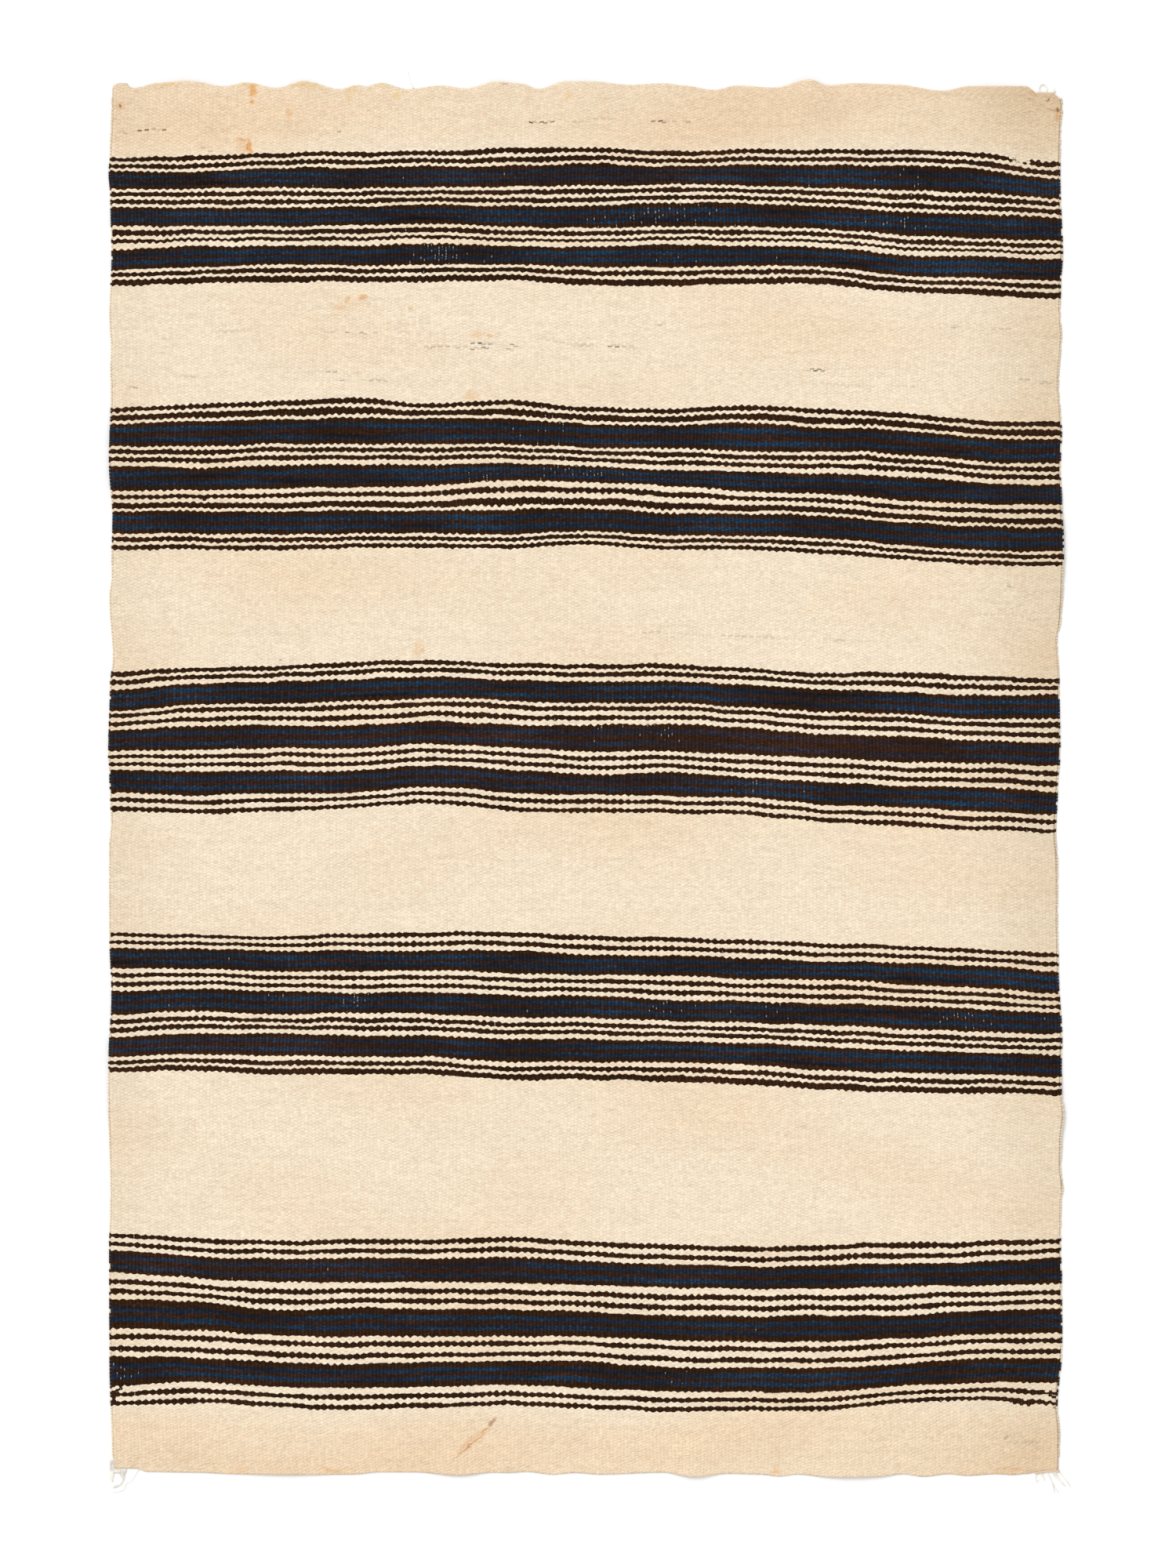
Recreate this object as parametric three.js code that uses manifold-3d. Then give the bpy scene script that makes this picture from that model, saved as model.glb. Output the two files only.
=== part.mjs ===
// A hand-woven wool blanket laid flat: one weft-faced cloth, a bound cord down each side, frayed cord ends
// at three worn corners and two loose threads.
// Millimetres, +Z up. +Y is the end with the looped corner, and the stripes lie along X.
import * as THREE from "three";
import Module from "manifold-3d";

// Driving dimensions.
const WIDTH = 1212; // between the straight lines that the two sides wander about
const LENGTH = 1771; // between the straight lines that the two ends wander about
const THICKNESS = 2.4;
const ROUNDING = 0.8; // the faces stop this far inside the rounded edge
const GAP = 0.3; // between neighbouring pieces
const CORD_WIDTH = 2;
const CORD_HEIGHT = 2.2;
const CORD_FROM = 16; // the side cords start this far below the top corners
const CORD_TO = 1750; // and end here, short of the frayed bottom corners
const THREAD_HEIGHT = 0.9;
const TUFT_HEIGHT = 2;
const SIDE_INSET = CORD_WIDTH + GAP; // the cloth lies this far inside the cords' outer faces
const SIDE_STEP = 26; // longest step of the outline down a side
const END_STEP = 12; // longest step of the outline along an end
const SHORTEST = 1; // no step of the outline along an edge is shorter
const CORNER_STEPS = 4;

// Places on the blanket are given as [across, down]: millimetres from the left side and from the top end.

// The crests and dips of each edge: [distance along it from the left or the top, how far it stands out].
const TOP_EDGE = [
  [0, 2.5], [14, 2.5], [30, -3.5], [60, 2.5], [99, 5], [144, -1.5], [171, 3.5], [213, -3.5],
  [246, 4.5], [293, -5], [316, 0.5], [325, -1.5], [344, 3], [379, -5], [421, -0.5], [455, -4],
  [493, 4], [524, 2], [546, -4.5], [580, 4.5], [620, 4], [660, 0.5], [706, 2.5], [732, -0.5],
  [769, -6], [799, -0.5], [847, -3], [892, 6.5], [914, -0.5], [949, 2.5], [1000, 1],
  [1062, -7], [1094, -1.5], [1168, -1.5], [1182, -10.8], [1212, -10.8],
];
const BOTTOM_EDGE = [
  [0, -7.6], [34, -7.2], [46, -3], [109, -2], [159, 0], [249, 0.5], [309, 0.5], [344, -2.5],
  [385, -2.5], [444, 1], [487, -2], [509, -1.5], [530, -3], [564, 0.5], [592, -1.5], [625, 0.5],
  [704, -2], [744, 3], [789, -0.5], [829, 0.5], [852, 3], [874, 0.5], [919, 3.7], [979, 3],
  [1010, 0], [1036, 3.3], [1069, 0], [1093, 2], [1129, 0], [1150, 1], [1170, -0.5],
  [1179, -2.4], [1194, -4.6], [1212, -4.9],
];
const LEFT_EDGE = [
  [0, -1], [28, -1.5], [90, 0.5], [113, 2.2], [141, 0], [221, -1.5], [296, 1], [336, -1],
  [361, 0], [391, -1], [481, 1.5], [551, -2.8], [606, -1.5], [626, -2], [653, 1], [731, -3.5],
  [766, 0.5], [851, 2.5], [880, 1.2], [941, -1], [976, 1.5], [1081, 1.2], [1161, -1.5],
  [1241, 2], [1286, 2.7], [1411, -0.3], [1491, 1.5], [1621, 1], [1751, -2.4], [1771, -2.4],
];
const RIGHT_EDGE = [
  [0, 0], [30, 2], [50, 0], [121, -1], [216, 2.4], [251, 0], [291, -1], [316, 1], [381, -3],
  [441, 1], [491, -0.5], [526, 1], [591, 3.5], [641, 2.2], [681, 0.2], [706, -4.8], [766, -2],
  [851, -0.7], [891, -4], [956, -6.5], [986, -4], [1061, -4.2], [1131, -3], [1216, 1.5],
  [1261, 0.5], [1286, 0.5], [1311, 3.7], [1346, 0.5], [1381, 0], [1406, 3.3], [1421, 0.5],
  [1481, -0.2], [1521, 1], [1611, 1.5], [1681, -4.5], [1721, -1.3], [1746, -2], [1771, -2],
];

// The radius of each worn corner of the cloth.
const CORNERS = { topLeft: 9, topRight: 12, bottomLeft: 4, bottomRight: 4 };

// Soft cockles that lift the cloth off the floor near its rim:
// [across, down, reach across, reach down, rise].
const COCKLES = [
  [98, -5, 62, 90, 4], [246, -5, 46, 70, 3.4], [494, -5, 44, 75, 3.4], [602, -5, 52, 85, 3],
  [892, -7, 46, 95, 4.4], [1130, 0, 60, 80, 2.6], [222, 1771, 80, 80, 2.6], [444, 1772, 52, 60, 2.8],
  [744, 1774, 40, 75, 3.6], [949, 1774, 68, 90, 3.8], [-2, 470, 50, 85, 2.6], [-2, 1265, 46, 90, 2.8],
  [1214, 590, 60, 100, 3.2], [1214, 1310, 55, 85, 3.2],
];

// Frayed cord ends and loose threads, each a row of [across, down, width] from its root to its tip.
const BOTTOM_LEFT_ENDS = [
  [[-0.6, 1766.8, 5.6], [9, 1766.8, 5.8], [20, 1766.6, 5.4]],
  [[1, 1753, 1.8], [0.3, 1759, 2.8], [0.4, 1765, 4], [1.7, 1771, 6.6], [1.7, 1777, 4.4], [2, 1781, 1]],
  [[15.5, 1767, 8], [15.5, 1773, 6.6], [15.7, 1779, 2.2], [10.8, 1785.2, 1.2], [3.5, 1788.4, 1]],
];
const BOTTOM_RIGHT_ENDS = [
  [[1179, 1770.9, 1.8], [1187, 1769.6, 1.8], [1196, 1768.2, 1.8], [1211, 1768, 1.8]],
  [[1181, 1770.8, 1.6], [1179.5, 1777, 1.3], [1181, 1780.9, 1.2], [1183.7, 1778.4, 0.9]],
  [[1186.5, 1769.6, 4], [1189, 1774.5, 2.4], [1191.7, 1779.4, 0.8]],
  [[1194.5, 1768.4, 2.4], [1197.5, 1773.5, 1.7], [1201, 1782.2, 1.4], [1204, 1794.5, 0.8]],
  [[1200.6, 1781, 1], [1204.3, 1787, 0.9], [1208.6, 1795, 0.8]],
  [[1203, 1768.2, 6], [1208, 1775.5, 4], [1212.8, 1781.5, 2], [1218, 1786, 0.9]],
  [[1209.8, 1768, 1.8], [1217, 1776, 1.4], [1221, 1782, 1.1], [1224.6, 1787, 0.8]],
];
const TOP_RIGHT_ENDS = [
  [[1183, 9.3, 1.8], [1194, 9.3, 1.8], [1206, 9.3, 1.8]],
  [
    [1185.6, 9, 2.6], [1184.4, 3.6, 2.6], [1187.2, -0.7, 2.4],
    [1190.8, -0.9, 2.4], [1193.8, 3, 2.2], [1193, 9, 2.2],
  ],
  [[1203.4, 9, 6], [1203, 5, 4], [1202.4, 1.2, 1.2]],
];
const TOP_THREAD = [
  [[384.6, 3.3, 1.6], [387.4, 3.3, 1.6]],
  [[386, 3.2, 1.2], [384, -3, 1], [381.2, -10, 0.9], [379.6, -18, 0.7]],
];
const BOTTOM_THREAD = [
  [[34.6, 1765.6, 1.8], [37.4, 1766.2, 1.8]],
  [
    [35.8, 1765.8, 1.4], [28.6, 1777, 1.1], [25.4, 1780.8, 1.4], [21, 1782.8, 2.2],
    [18.8, 1786.6, 1.2], [18.2, 1789.2, 1.1], [14.4, 1792.3, 1], [3.2, 1794.8, 0.8],
  ],
];
const STRAND_STEPS = 4; // steps between the rows of a strand

// Sections in units of a strand's width and height, the first two points on the floor.
const STRAND_SECTION = [[-0.5, 0], [0.5, 0], [0.28, 1], [-0.28, 1]];
const CORD_SECTION = [[-0.3, 0], [0.3, 0], [0.5, 0.5], [0.3, 1], [-0.3, 1], [-0.5, 0.5]];

// The cloth's faces: a ring that follows the outline, round a plain grid.
const GRID_MARGIN = 20; // from the straight edge lines to the grid's first line
const GRID_COLUMNS = 34;
const END_ROWS = [0, 16, 36, 62, 96]; // grid rows near each end, as distances from its first line
const MIDDLE_ROWS = 16;

const wasm = await Module();
wasm.setup();

const wool = {
  cloth: new THREE.MeshStandardMaterial({ color: 0xe8d8ba, roughness: 0.95, metalness: 0 }),
  cord: new THREE.MeshStandardMaterial({ color: 0xd9c7a8, roughness: 0.92, metalness: 0 }),
  frayed: new THREE.MeshStandardMaterial({ color: 0xd6cebc, roughness: 0.9, metalness: 0 }),
};

const spot = (across, down) => new THREE.Vector2(across - WIDTH / 2, LENGTH / 2 - down);

// How far an edge stands out at a place along it: S-curves join its crests and dips.
function standOut(edge, at) {
  const after = edge.findIndex(([along]) => along >= at);
  if (after === 0) return edge[0][1];
  if (after < 0) return edge[edge.length - 1][1];
  const [from, low] = edge[after - 1];
  const [to, high] = edge[after];
  return THREE.MathUtils.lerp(low, high, THREE.MathUtils.smoothstep(at, from, to));
}

// Every crest and dip of an edge between two places, with even steps no longer than the limit between them.
function stations(edge, start, end, limit) {
  const between = edge.map(([along]) => along).filter((a) => a > start + SHORTEST && a < end - SHORTEST);
  const fixed = [start, ...between, end];
  return fixed.flatMap((from, i) => {
    if (i === fixed.length - 1) return [from];
    const steps = Math.ceil((fixed[i + 1] - from) / limit);
    return Array.from({ length: steps }, (_, k) => from + ((fixed[i + 1] - from) * k) / steps);
  });
}

function lift(x, y) {
  return COCKLES.reduce((sum, [across, down, reachAcross, reachDown, rise]) => {
    const centre = spot(across, down);
    const far = Math.hypot((x - centre.x) / reachAcross, (y - centre.y) / reachDown);
    return sum + (far < 1 ? rise * Math.cos((far * Math.PI) / 2) ** 2 : 0);
  }, 0);
}

function solid(positions, index) {
  const geometry = new THREE.BufferGeometry();
  geometry.setAttribute("position", new THREE.Float32BufferAttribute(positions, 3));
  geometry.setIndex(index);
  return geometry;
}

// A closed solid through sections of equal size, given as Vector3 lists that turn anticlockwise
// when seen from ahead.
function loft(sections) {
  const size = sections[0].length;
  const last = (sections.length - 1) * size;
  const index = [];
  for (let start = 0; start < last; start += size)
    for (let k = 0; k < size; k++) {
      const a = start + k;
      const b = start + ((k + 1) % size);
      index.push(a, b, b + size, a, b + size, a + size);
    }
  for (let k = 1; k + 1 < size; k++) index.push(0, k + 1, k, last, last + k, last + k + 1);
  return solid(sections.flat().flatMap((p) => p.toArray()), index);
}

// A section of given width and height across a path at a point, standing at a base height.
function sectionAt(shape, point, ahead, width, height, base) {
  const left = new THREE.Vector2(-ahead.y, ahead.x).normalize();
  return shape.map(
    ([side, up]) =>
      new THREE.Vector3(point.x + left.x * side * width, point.y + left.y * side * width, base + up * height),
  );
}

function strand(rows, height) {
  const path = new THREE.CatmullRomCurve3(
    rows.map(([across, down, width]) => new THREE.Vector3(...spot(across, down).toArray(), width)),
    false,
    "centripetal",
  );
  const points = path.getPoints(STRAND_STEPS * (rows.length - 1));
  return loft(
    points.map((p, i) => {
      const before = points[Math.max(i - 1, 0)];
      const after = points[Math.min(i + 1, points.length - 1)];
      const ahead = new THREE.Vector2(after.x - before.x, after.y - before.y);
      return sectionAt(STRAND_SECTION, p, ahead, p.z, height, 0);
    }),
  );
}

// Strands fused with their backing strip, which is the first of them.
function fused(strands, height) {
  const whole = strands
    .map((rows) => {
      const { attributes, index } = strand(rows, height);
      const triVerts = new Uint32Array(index.array);
      return new wasm.Manifold(
        new wasm.Mesh({ numProp: 3, vertProperties: attributes.position.array, triVerts }),
      );
    })
    .reduce((sum, piece) => sum.add(piece));
  const mesh = whole.getMesh();
  return solid(Array.from(mesh.vertProperties), Array.from(mesh.triVerts));
}

// How far a side draws in near an end, at a distance from it, round a worn corner.
const drawnIn = (radius, distance) =>
  distance < radius ? radius - Math.sqrt(radius ** 2 - (radius - distance) ** 2) : 0;

// The cloth's edge down one side, from the top end to the bottom end.
function clothSide(edge, hand, topRadius, bottomRadius) {
  const along = (radius) => (hand < 0 ? radius : WIDTH - radius);
  const top = -standOut(TOP_EDGE, along(topRadius));
  const bottom = LENGTH + standOut(BOTTOM_EDGE, along(bottomRadius));
  const turn = Math.PI / 2 / CORNER_STEPS;
  const bends = Array.from({ length: CORNER_STEPS }, (_, k) => 1 - Math.cos(k * turn));
  const downs = [
    ...bends.map((share) => top + topRadius * share),
    ...stations(edge, top + topRadius, CORD_FROM, SIDE_STEP).slice(0, -1),
    ...cordStations(edge),
    ...stations(edge, CORD_TO, bottom - bottomRadius, SIDE_STEP).slice(1),
    ...bends.map((share) => bottom - bottomRadius * share).reverse(),
  ];
  return downs.map((down) => {
    const drawn = drawnIn(topRadius, down - top) + drawnIn(bottomRadius, bottom - down);
    const inset = SIDE_INSET - standOut(edge, down) + drawn;
    return spot(hand < 0 ? inset : WIDTH - inset, down);
  });
}

const cordStations = (edge) => stations(edge, CORD_FROM, CORD_TO, SIDE_STEP);

// The cloth's edge along one end, between its two corners.
function clothEnd(edge, isTop, leftRadius, rightRadius) {
  const inner = stations(edge, SIDE_INSET + leftRadius, WIDTH - SIDE_INSET - rightRadius, END_STEP);
  return inner
    .slice(1, -1)
    .map((across) => spot(across, isTop ? -standOut(edge, across) : LENGTH + standOut(edge, across)));
}

function clothOutline() {
  const { topLeft, topRight, bottomLeft, bottomRight } = CORNERS;
  return [
    ...clothSide(LEFT_EDGE, -1, topLeft, bottomLeft),
    ...clothEnd(BOTTOM_EDGE, false, bottomLeft, bottomRight),
    ...clothSide(RIGHT_EDGE, 1, topRight, bottomRight).reverse(),
    ...clothEnd(TOP_EDGE, true, topLeft, topRight).reverse(),
  ];
}

// The loop drawn in by the rounding, square to its own run at each point.
function insideOf(loop) {
  return loop.map((p, i) => {
    const before = loop[(i + loop.length - 1) % loop.length];
    const after = loop[(i + 1) % loop.length];
    const inwards = new THREE.Vector2(before.y - after.y, after.x - before.x).normalize();
    return p.clone().addScaledVector(inwards, ROUNDING);
  });
}

// Triangles between two anticlockwise loops of point numbers, one inside the other.
function strip(points, outer, inner) {
  const gap = (o, i) => points[outer[o % outer.length]].distanceTo(points[inner[i % inner.length]]);
  const triangles = [];
  for (let o = 0, i = 0; o < outer.length || i < inner.length; ) {
    const here = [outer[o % outer.length], inner[i % inner.length]];
    const alongOuter = i === inner.length || (o < outer.length && gap(o + 1, i) <= gap(o, i + 1));
    if (alongOuter) triangles.push([here[0], outer[++o % outer.length], here[1]]);
    else triangles.push([here[0], inner[++i % inner.length], here[1]]);
  }
  return triangles;
}

function gridRows() {
  const height = LENGTH - 2 * GRID_MARGIN;
  const reach = END_ROWS[END_ROWS.length - 1];
  const middle = Array.from(
    { length: MIDDLE_ROWS - 1 },
    (_, k) => reach + ((height - 2 * reach) * (k + 1)) / MIDDLE_ROWS,
  );
  return [...END_ROWS, ...middle, ...END_ROWS.map((row) => height - row).reverse()];
}

function clothGeometry() {
  const outline = clothOutline();
  const ring = insideOf(outline);
  const count = ring.length;
  const rows = gridRows();
  const wide = GRID_COLUMNS + 1;
  const grid = rows.flatMap((row) =>
    Array.from({ length: wide }, (_, k) =>
      spot(GRID_MARGIN + ((WIDTH - 2 * GRID_MARGIN) * k) / GRID_COLUMNS, GRID_MARGIN + row),
    ),
  );
  const lastRow = (rows.length - 1) * wide;
  const rim = [
    ...rows.map((_, r) => r * wide),
    ...Array.from({ length: wide - 2 }, (_, k) => lastRow + k + 1),
    ...rows.map((_, r) => lastRow - r * wide + wide - 1),
    ...Array.from({ length: wide - 2 }, (_, k) => wide - 2 - k),
  ];

  // The flat pattern, shared by both faces: a strip from the ring to the grid, and the grid's own cells.
  const pattern = strip([...ring, ...grid], ring.map((_, k) => k), rim.map((k) => count + k));
  for (let r = 0; r + 1 < rows.length; r++)
    for (let k = 0; k < GRID_COLUMNS; k++) {
      const a = count + r * wide + k;
      const b = a + wide;
      pattern.push([a, b, b + 1], [a, b + 1, a + 1]);
    }

  const flat = [...ring, ...grid];
  const size = flat.length;
  const under = flat.map((p) => [p.x, p.y, lift(p.x, p.y)]);
  const above = under.map(([x, y, z]) => [x, y, z + THICKNESS]);
  const edge = outline.map((p) => [p.x, p.y, lift(p.x, p.y) + THICKNESS / 2]);
  const index = [];
  for (const [a, b, c] of pattern) index.push(a, c, b, size + a, size + b, size + c);
  for (let i = 0; i < count; i++) {
    const next = (i + 1) % count;
    for (const [low, high] of [[0, 2 * size], [2 * size, size]])
      index.push(low + i, low + next, high + next, low + i, high + next, high + i);
  }
  return solid([...under, ...above, ...edge].flat(), index);
}

function sideCord(edge, hand) {
  const points = cordStations(edge).map((down) => {
    const inset = CORD_WIDTH / 2 - standOut(edge, down);
    return spot(hand < 0 ? inset : WIDTH - inset, down);
  });
  const downwards = new THREE.Vector2(0, -1);
  return loft(
    points.map((p) => sectionAt(CORD_SECTION, p, downwards, CORD_WIDTH, CORD_HEIGHT, lift(p.x, p.y))),
  );
}

const blanket = new THREE.Group();

function add(name, geometry, material) {
  const mesh = new THREE.Mesh(geometry, material);
  mesh.name = name;
  blanket.add(mesh);
}

add("cloth", clothGeometry(), wool.cloth);
add("selvedge_cord_left", sideCord(LEFT_EDGE, -1), wool.cord);
add("selvedge_cord_right", sideCord(RIGHT_EDGE, 1), wool.cord);
add("frayed_ends_bottom_left", fused(BOTTOM_LEFT_ENDS, TUFT_HEIGHT), wool.frayed);
add("frayed_ends_bottom_right", fused(BOTTOM_RIGHT_ENDS, TUFT_HEIGHT), wool.frayed);
add("corner_loop_top_right", fused(TOP_RIGHT_ENDS, TUFT_HEIGHT), wool.frayed);
add("loose_thread_top", fused(TOP_THREAD, THREAD_HEIGHT), wool.frayed);
add("loose_thread_bottom", fused(BOTTOM_THREAD, THREAD_HEIGHT), wool.frayed);

// The origin is on the floor, under the middle of everything.
const reach = new THREE.Box3().setFromObject(blanket);
const middle = reach.getCenter(new THREE.Vector3());
blanket.position.set(-middle.x, -middle.y, -reach.min.z);

const part = new THREE.Group();
part.add(blanket);
export default part;
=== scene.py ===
"""A striped wool blanket laid flat: weft-faced cloth, bound sides, frayed corners and loose threads."""

import math
from types import SimpleNamespace

import bpy
import numpy as np
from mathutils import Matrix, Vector


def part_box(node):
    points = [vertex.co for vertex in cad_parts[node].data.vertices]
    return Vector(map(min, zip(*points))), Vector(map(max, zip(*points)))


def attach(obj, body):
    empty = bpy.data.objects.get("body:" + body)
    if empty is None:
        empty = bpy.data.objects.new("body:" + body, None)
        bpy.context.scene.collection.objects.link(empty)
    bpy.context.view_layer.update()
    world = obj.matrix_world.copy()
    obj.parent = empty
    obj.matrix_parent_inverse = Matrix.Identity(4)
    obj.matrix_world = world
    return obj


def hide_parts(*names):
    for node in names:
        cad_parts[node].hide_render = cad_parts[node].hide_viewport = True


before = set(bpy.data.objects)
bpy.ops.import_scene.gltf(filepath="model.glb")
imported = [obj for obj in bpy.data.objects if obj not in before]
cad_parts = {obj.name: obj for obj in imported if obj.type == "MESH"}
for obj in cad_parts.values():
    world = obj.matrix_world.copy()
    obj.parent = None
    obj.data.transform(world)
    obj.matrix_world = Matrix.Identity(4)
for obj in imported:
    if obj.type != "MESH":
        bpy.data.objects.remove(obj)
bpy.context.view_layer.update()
CLOTH_LOW, CLOTH_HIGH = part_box("cloth")

bl_info = {
    "name": "Striped wool blanket",
    "version": (1, 0, 0),
    "blender": (4, 5, 0),
    "location": "View3D > Sidebar > Blanket",
    "description": "Weaves a striped wool blanket on its packed solids",
    "category": "Mesh",
}

MM = 0.001

# Places are [across, down] in mm, from the left side's line and the top end's line.
# One pixel of the photograph is one millimetre of the blanket.
PHOTO_WIDE = 1500
PHOTO_TALL = 2000
PHOTO_LEFT = 141
PHOTO_TOP = 109
CLOTH_LEFTMOST = -0.4
CLOTH_TOPMOST = -6.5

# Driving sizes in mm, as in the solids. The cloth reaches a little into the cords' room, to touch them.
WIDTH = 1212
LENGTH = 1771
THICKNESS = 2.4
SIDE_INSET = 1.6
CORD_WIDTH = 2
CORD_HEIGHT = 2.2
CORD_FROM = 16
CORD_TO = 1750
THREAD_HEIGHT = 0.9
TUFT_HEIGHT = 2

# A side cord's plies, and the turns of weft round it: how thick, wide, tall and slanted a turn is, and the
# share of turns left out on either side.
PLY_RADIUS = 0.5
PLY_SWAY = 0.34
PLY_RISE = 0.42
TURN_THICK = 0.32
TURN_WIDE = 1.12
TURN_TALL = 0.84
TURN_LEAN = 0.3
LEFT_BARE = 0.06
RIGHT_BARE = 0.24

# Frayed ends: the height of their beds, their fibre locks to the mm, the fibres of the wide backing and of
# the nub beside the loop, and how many mm one twist takes in the loop and in the loose threads.
BED_HEIGHT = 1.3
FIBRES_PER_MM = 5
BACKING_FIBRES = 110
NUB_FIBRES = 22
LOOP_TWIST = 7
YARN_TWIST = 3.4

# The rolled ends: places in from the end in mm, and the share of the roll's rise at each.
END_STEPS = [0.0, 1.0, 2.6, 4.4, 6.4]
END_RISES = [-1.0, -0.1, 1.0, -0.6, 0.0]

# The cloth's mesh: its random jogs and ripples and its clearance over the solid in mm, how high its rims
# lie as shares of its thickness, and how many rows of the top make one of the underside.
JOG = 0.22
RIPPLE = 0.05
FACE_CLEAR = 0.05
SIDE_RIM = 0.85
END_RIM = 0.5
UNDER_ROW = 3

# The end fields' own look: the picks over which it comes in, the slant of the beads and the warmth.
FIELD_FADE = 12
SLANT = 0.06
BOTTOM_SLANT = 0.6
BOTTOM_WARMTH = 0.32
TOP_WARMTH = 0.3

# The map for the bake gives the upper face the first stretch across and the underside the second.
BAKE_TOP = (0.005, 0.675)
BAKE_UNDER = (0.69, 0.305)
BAKE_DOWN = (0.005, 0.99)

# How far each edge stands out of its straight line, rows of [along, out].
TOP_EDGE = [
    [0, 2.5], [14, 2.5], [30, -3.5], [60, 2.5], [99, 5], [144, -1.5], [171, 3.5], [213, -3.5],
    [246, 4.5], [293, -5], [316, 0.5], [325, -1.5], [344, 3], [379, -5], [421, -0.5], [455, -4],
    [493, 4], [524, 2], [546, -4.5], [580, 4.5], [620, 4], [660, 0.5], [706, 2.5], [732, -0.5],
    [769, -6], [799, -0.5], [847, -3], [892, 6.5], [914, -0.5], [949, 2.5], [1000, 1], [1062, -7],
    [1094, -1.5], [1168, -1.5], [1182, -10.8], [1212, -10.8],
]
BOTTOM_EDGE = [
    [0, -7.6], [34, -7.2], [46, -3], [109, -2], [159, 0], [249, 0.5], [309, 0.5], [344, -2.5],
    [385, -2.5], [444, 1], [487, -2], [509, -1.5], [530, -3], [564, 0.5], [592, -1.5], [625, 0.5],
    [704, -2], [744, 3], [789, -0.5], [829, 0.5], [852, 3], [874, 0.5], [919, 3.7], [979, 3], [1010, 0],
    [1036, 3.3], [1069, 0], [1093, 2], [1129, 0], [1150, 1], [1170, -0.5], [1179, -2.4], [1194, -4.6],
    [1212, -4.9],
]
LEFT_EDGE = [
    [0, -1], [28, -1.5], [90, 0.5], [113, 2.2], [141, 0], [221, -1.5], [296, 1], [336, -1], [361, 0],
    [391, -1], [481, 1.5], [551, -2.8], [606, -1.5], [626, -2], [653, 1], [731, -3.5], [766, 0.5],
    [851, 2.5], [880, 1.2], [941, -1], [976, 1.5], [1081, 1.2], [1161, -1.5], [1241, 2], [1286, 2.7],
    [1411, -0.3], [1491, 1.5], [1621, 1], [1751, -2.4], [1771, -2.4],
]
RIGHT_EDGE = [
    [0, 0], [30, 2], [50, 0], [121, -1], [216, 2.4], [251, 0], [291, -1], [316, 1], [381, -3], [441, 1],
    [491, -0.5], [526, 1], [591, 3.5], [641, 2.2], [681, 0.2], [706, -4.8], [766, -2], [851, -0.7],
    [891, -4], [956, -6.5], [986, -4], [1061, -4.2], [1131, -3], [1216, 1.5], [1261, 0.5], [1286, 0.5],
    [1311, 3.7], [1346, 0.5], [1381, 0], [1406, 3.3], [1421, 0.5], [1481, -0.2], [1521, 1], [1611, 1.5],
    [1681, -4.5], [1721, -1.3], [1746, -2], [1771, -2],
]
CORNERS = {"top_left": 9, "top_right": 12, "bottom_left": 4, "bottom_right": 4}

# Low swells where the cloth cockles, rows of [across, down, reach across, reach down, rise].
COCKLES = [
    [98, -5, 62, 90, 4], [246, -5, 46, 70, 3.4], [494, -5, 44, 75, 3.4], [602, -5, 52, 85, 3],
    [892, -7, 46, 95, 4.4], [1130, 0, 60, 80, 2.6], [222, 1771, 80, 80, 2.6], [444, 1772, 52, 60, 2.8],
    [744, 1774, 40, 75, 3.6], [949, 1774, 68, 90, 3.8], [-2, 470, 50, 85, 2.6], [-2, 1265, 46, 90, 2.8],
    [1214, 590, 60, 100, 3.2], [1214, 1310, 55, 85, 3.2],
]

# The strands of each frayed place, rows of [across, down, width]. The first strand is its backing.
BOTTOM_LEFT_ENDS = [
    [[-0.6, 1766.3, 6.6], [9, 1766.3, 6.8], [20, 1766.1, 6.4]],
    [[1, 1753, 1.8], [0.3, 1759, 2.8], [0.4, 1765, 4], [1.7, 1771, 6.6], [1.7, 1777, 4.4], [2, 1781, 1]],
    [[15.5, 1767, 8], [15.5, 1773, 6.6], [15.7, 1779, 2.2], [10.8, 1785.2, 1.2], [3.5, 1788.4, 1]],
]
BOTTOM_RIGHT_ENDS = [
    [[1179, 1769.8, 3.8], [1187, 1768.5, 3.8], [1196, 1767.2, 3.6], [1210, 1767, 3.6]],
    [[1181, 1770.8, 1.6], [1179.5, 1777, 1.3], [1181, 1780.9, 1.2], [1183.7, 1778.4, 0.9]],
    [[1186.5, 1769.6, 4], [1189, 1774.5, 2.4], [1191.7, 1779.4, 0.8]],
    [[1194.5, 1768.4, 2.4], [1197.5, 1773.5, 1.7], [1201, 1782.2, 1.4], [1204, 1794.5, 0.8]],
    [[1200.6, 1781, 1], [1204.3, 1787, 0.9], [1208.6, 1795, 0.8]],
    [[1203, 1768.2, 6], [1208, 1775.5, 4], [1212.8, 1781.5, 2], [1218, 1786, 0.9]],
    [[1209.8, 1768, 1.8], [1217, 1776, 1.4], [1221, 1782, 1.1], [1224.6, 1787, 0.8]],
]
TOP_RIGHT_ENDS = [
    [[1182, 10.1, 3.2], [1194, 10.1, 3.2], [1203, 10.2, 3]],
    [
        [1185.6, 9, 2.6], [1184.4, 3.6, 2.6], [1187.2, -0.7, 2.4], [1190.8, -0.9, 2.4],
        [1193.8, 3, 2.2], [1193, 9, 2.2],
    ],
    [[1203.4, 9, 6], [1203, 5, 4], [1202.4, 1.2, 1.2]],
]
TOP_THREAD = [
    [[384.6, 3.3, 1.6], [387.4, 3.3, 1.6]],
    [[386, 3.2, 1.2], [384, -3, 1], [381.2, -10, 0.9], [379.6, -18, 0.7]],
]
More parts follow.
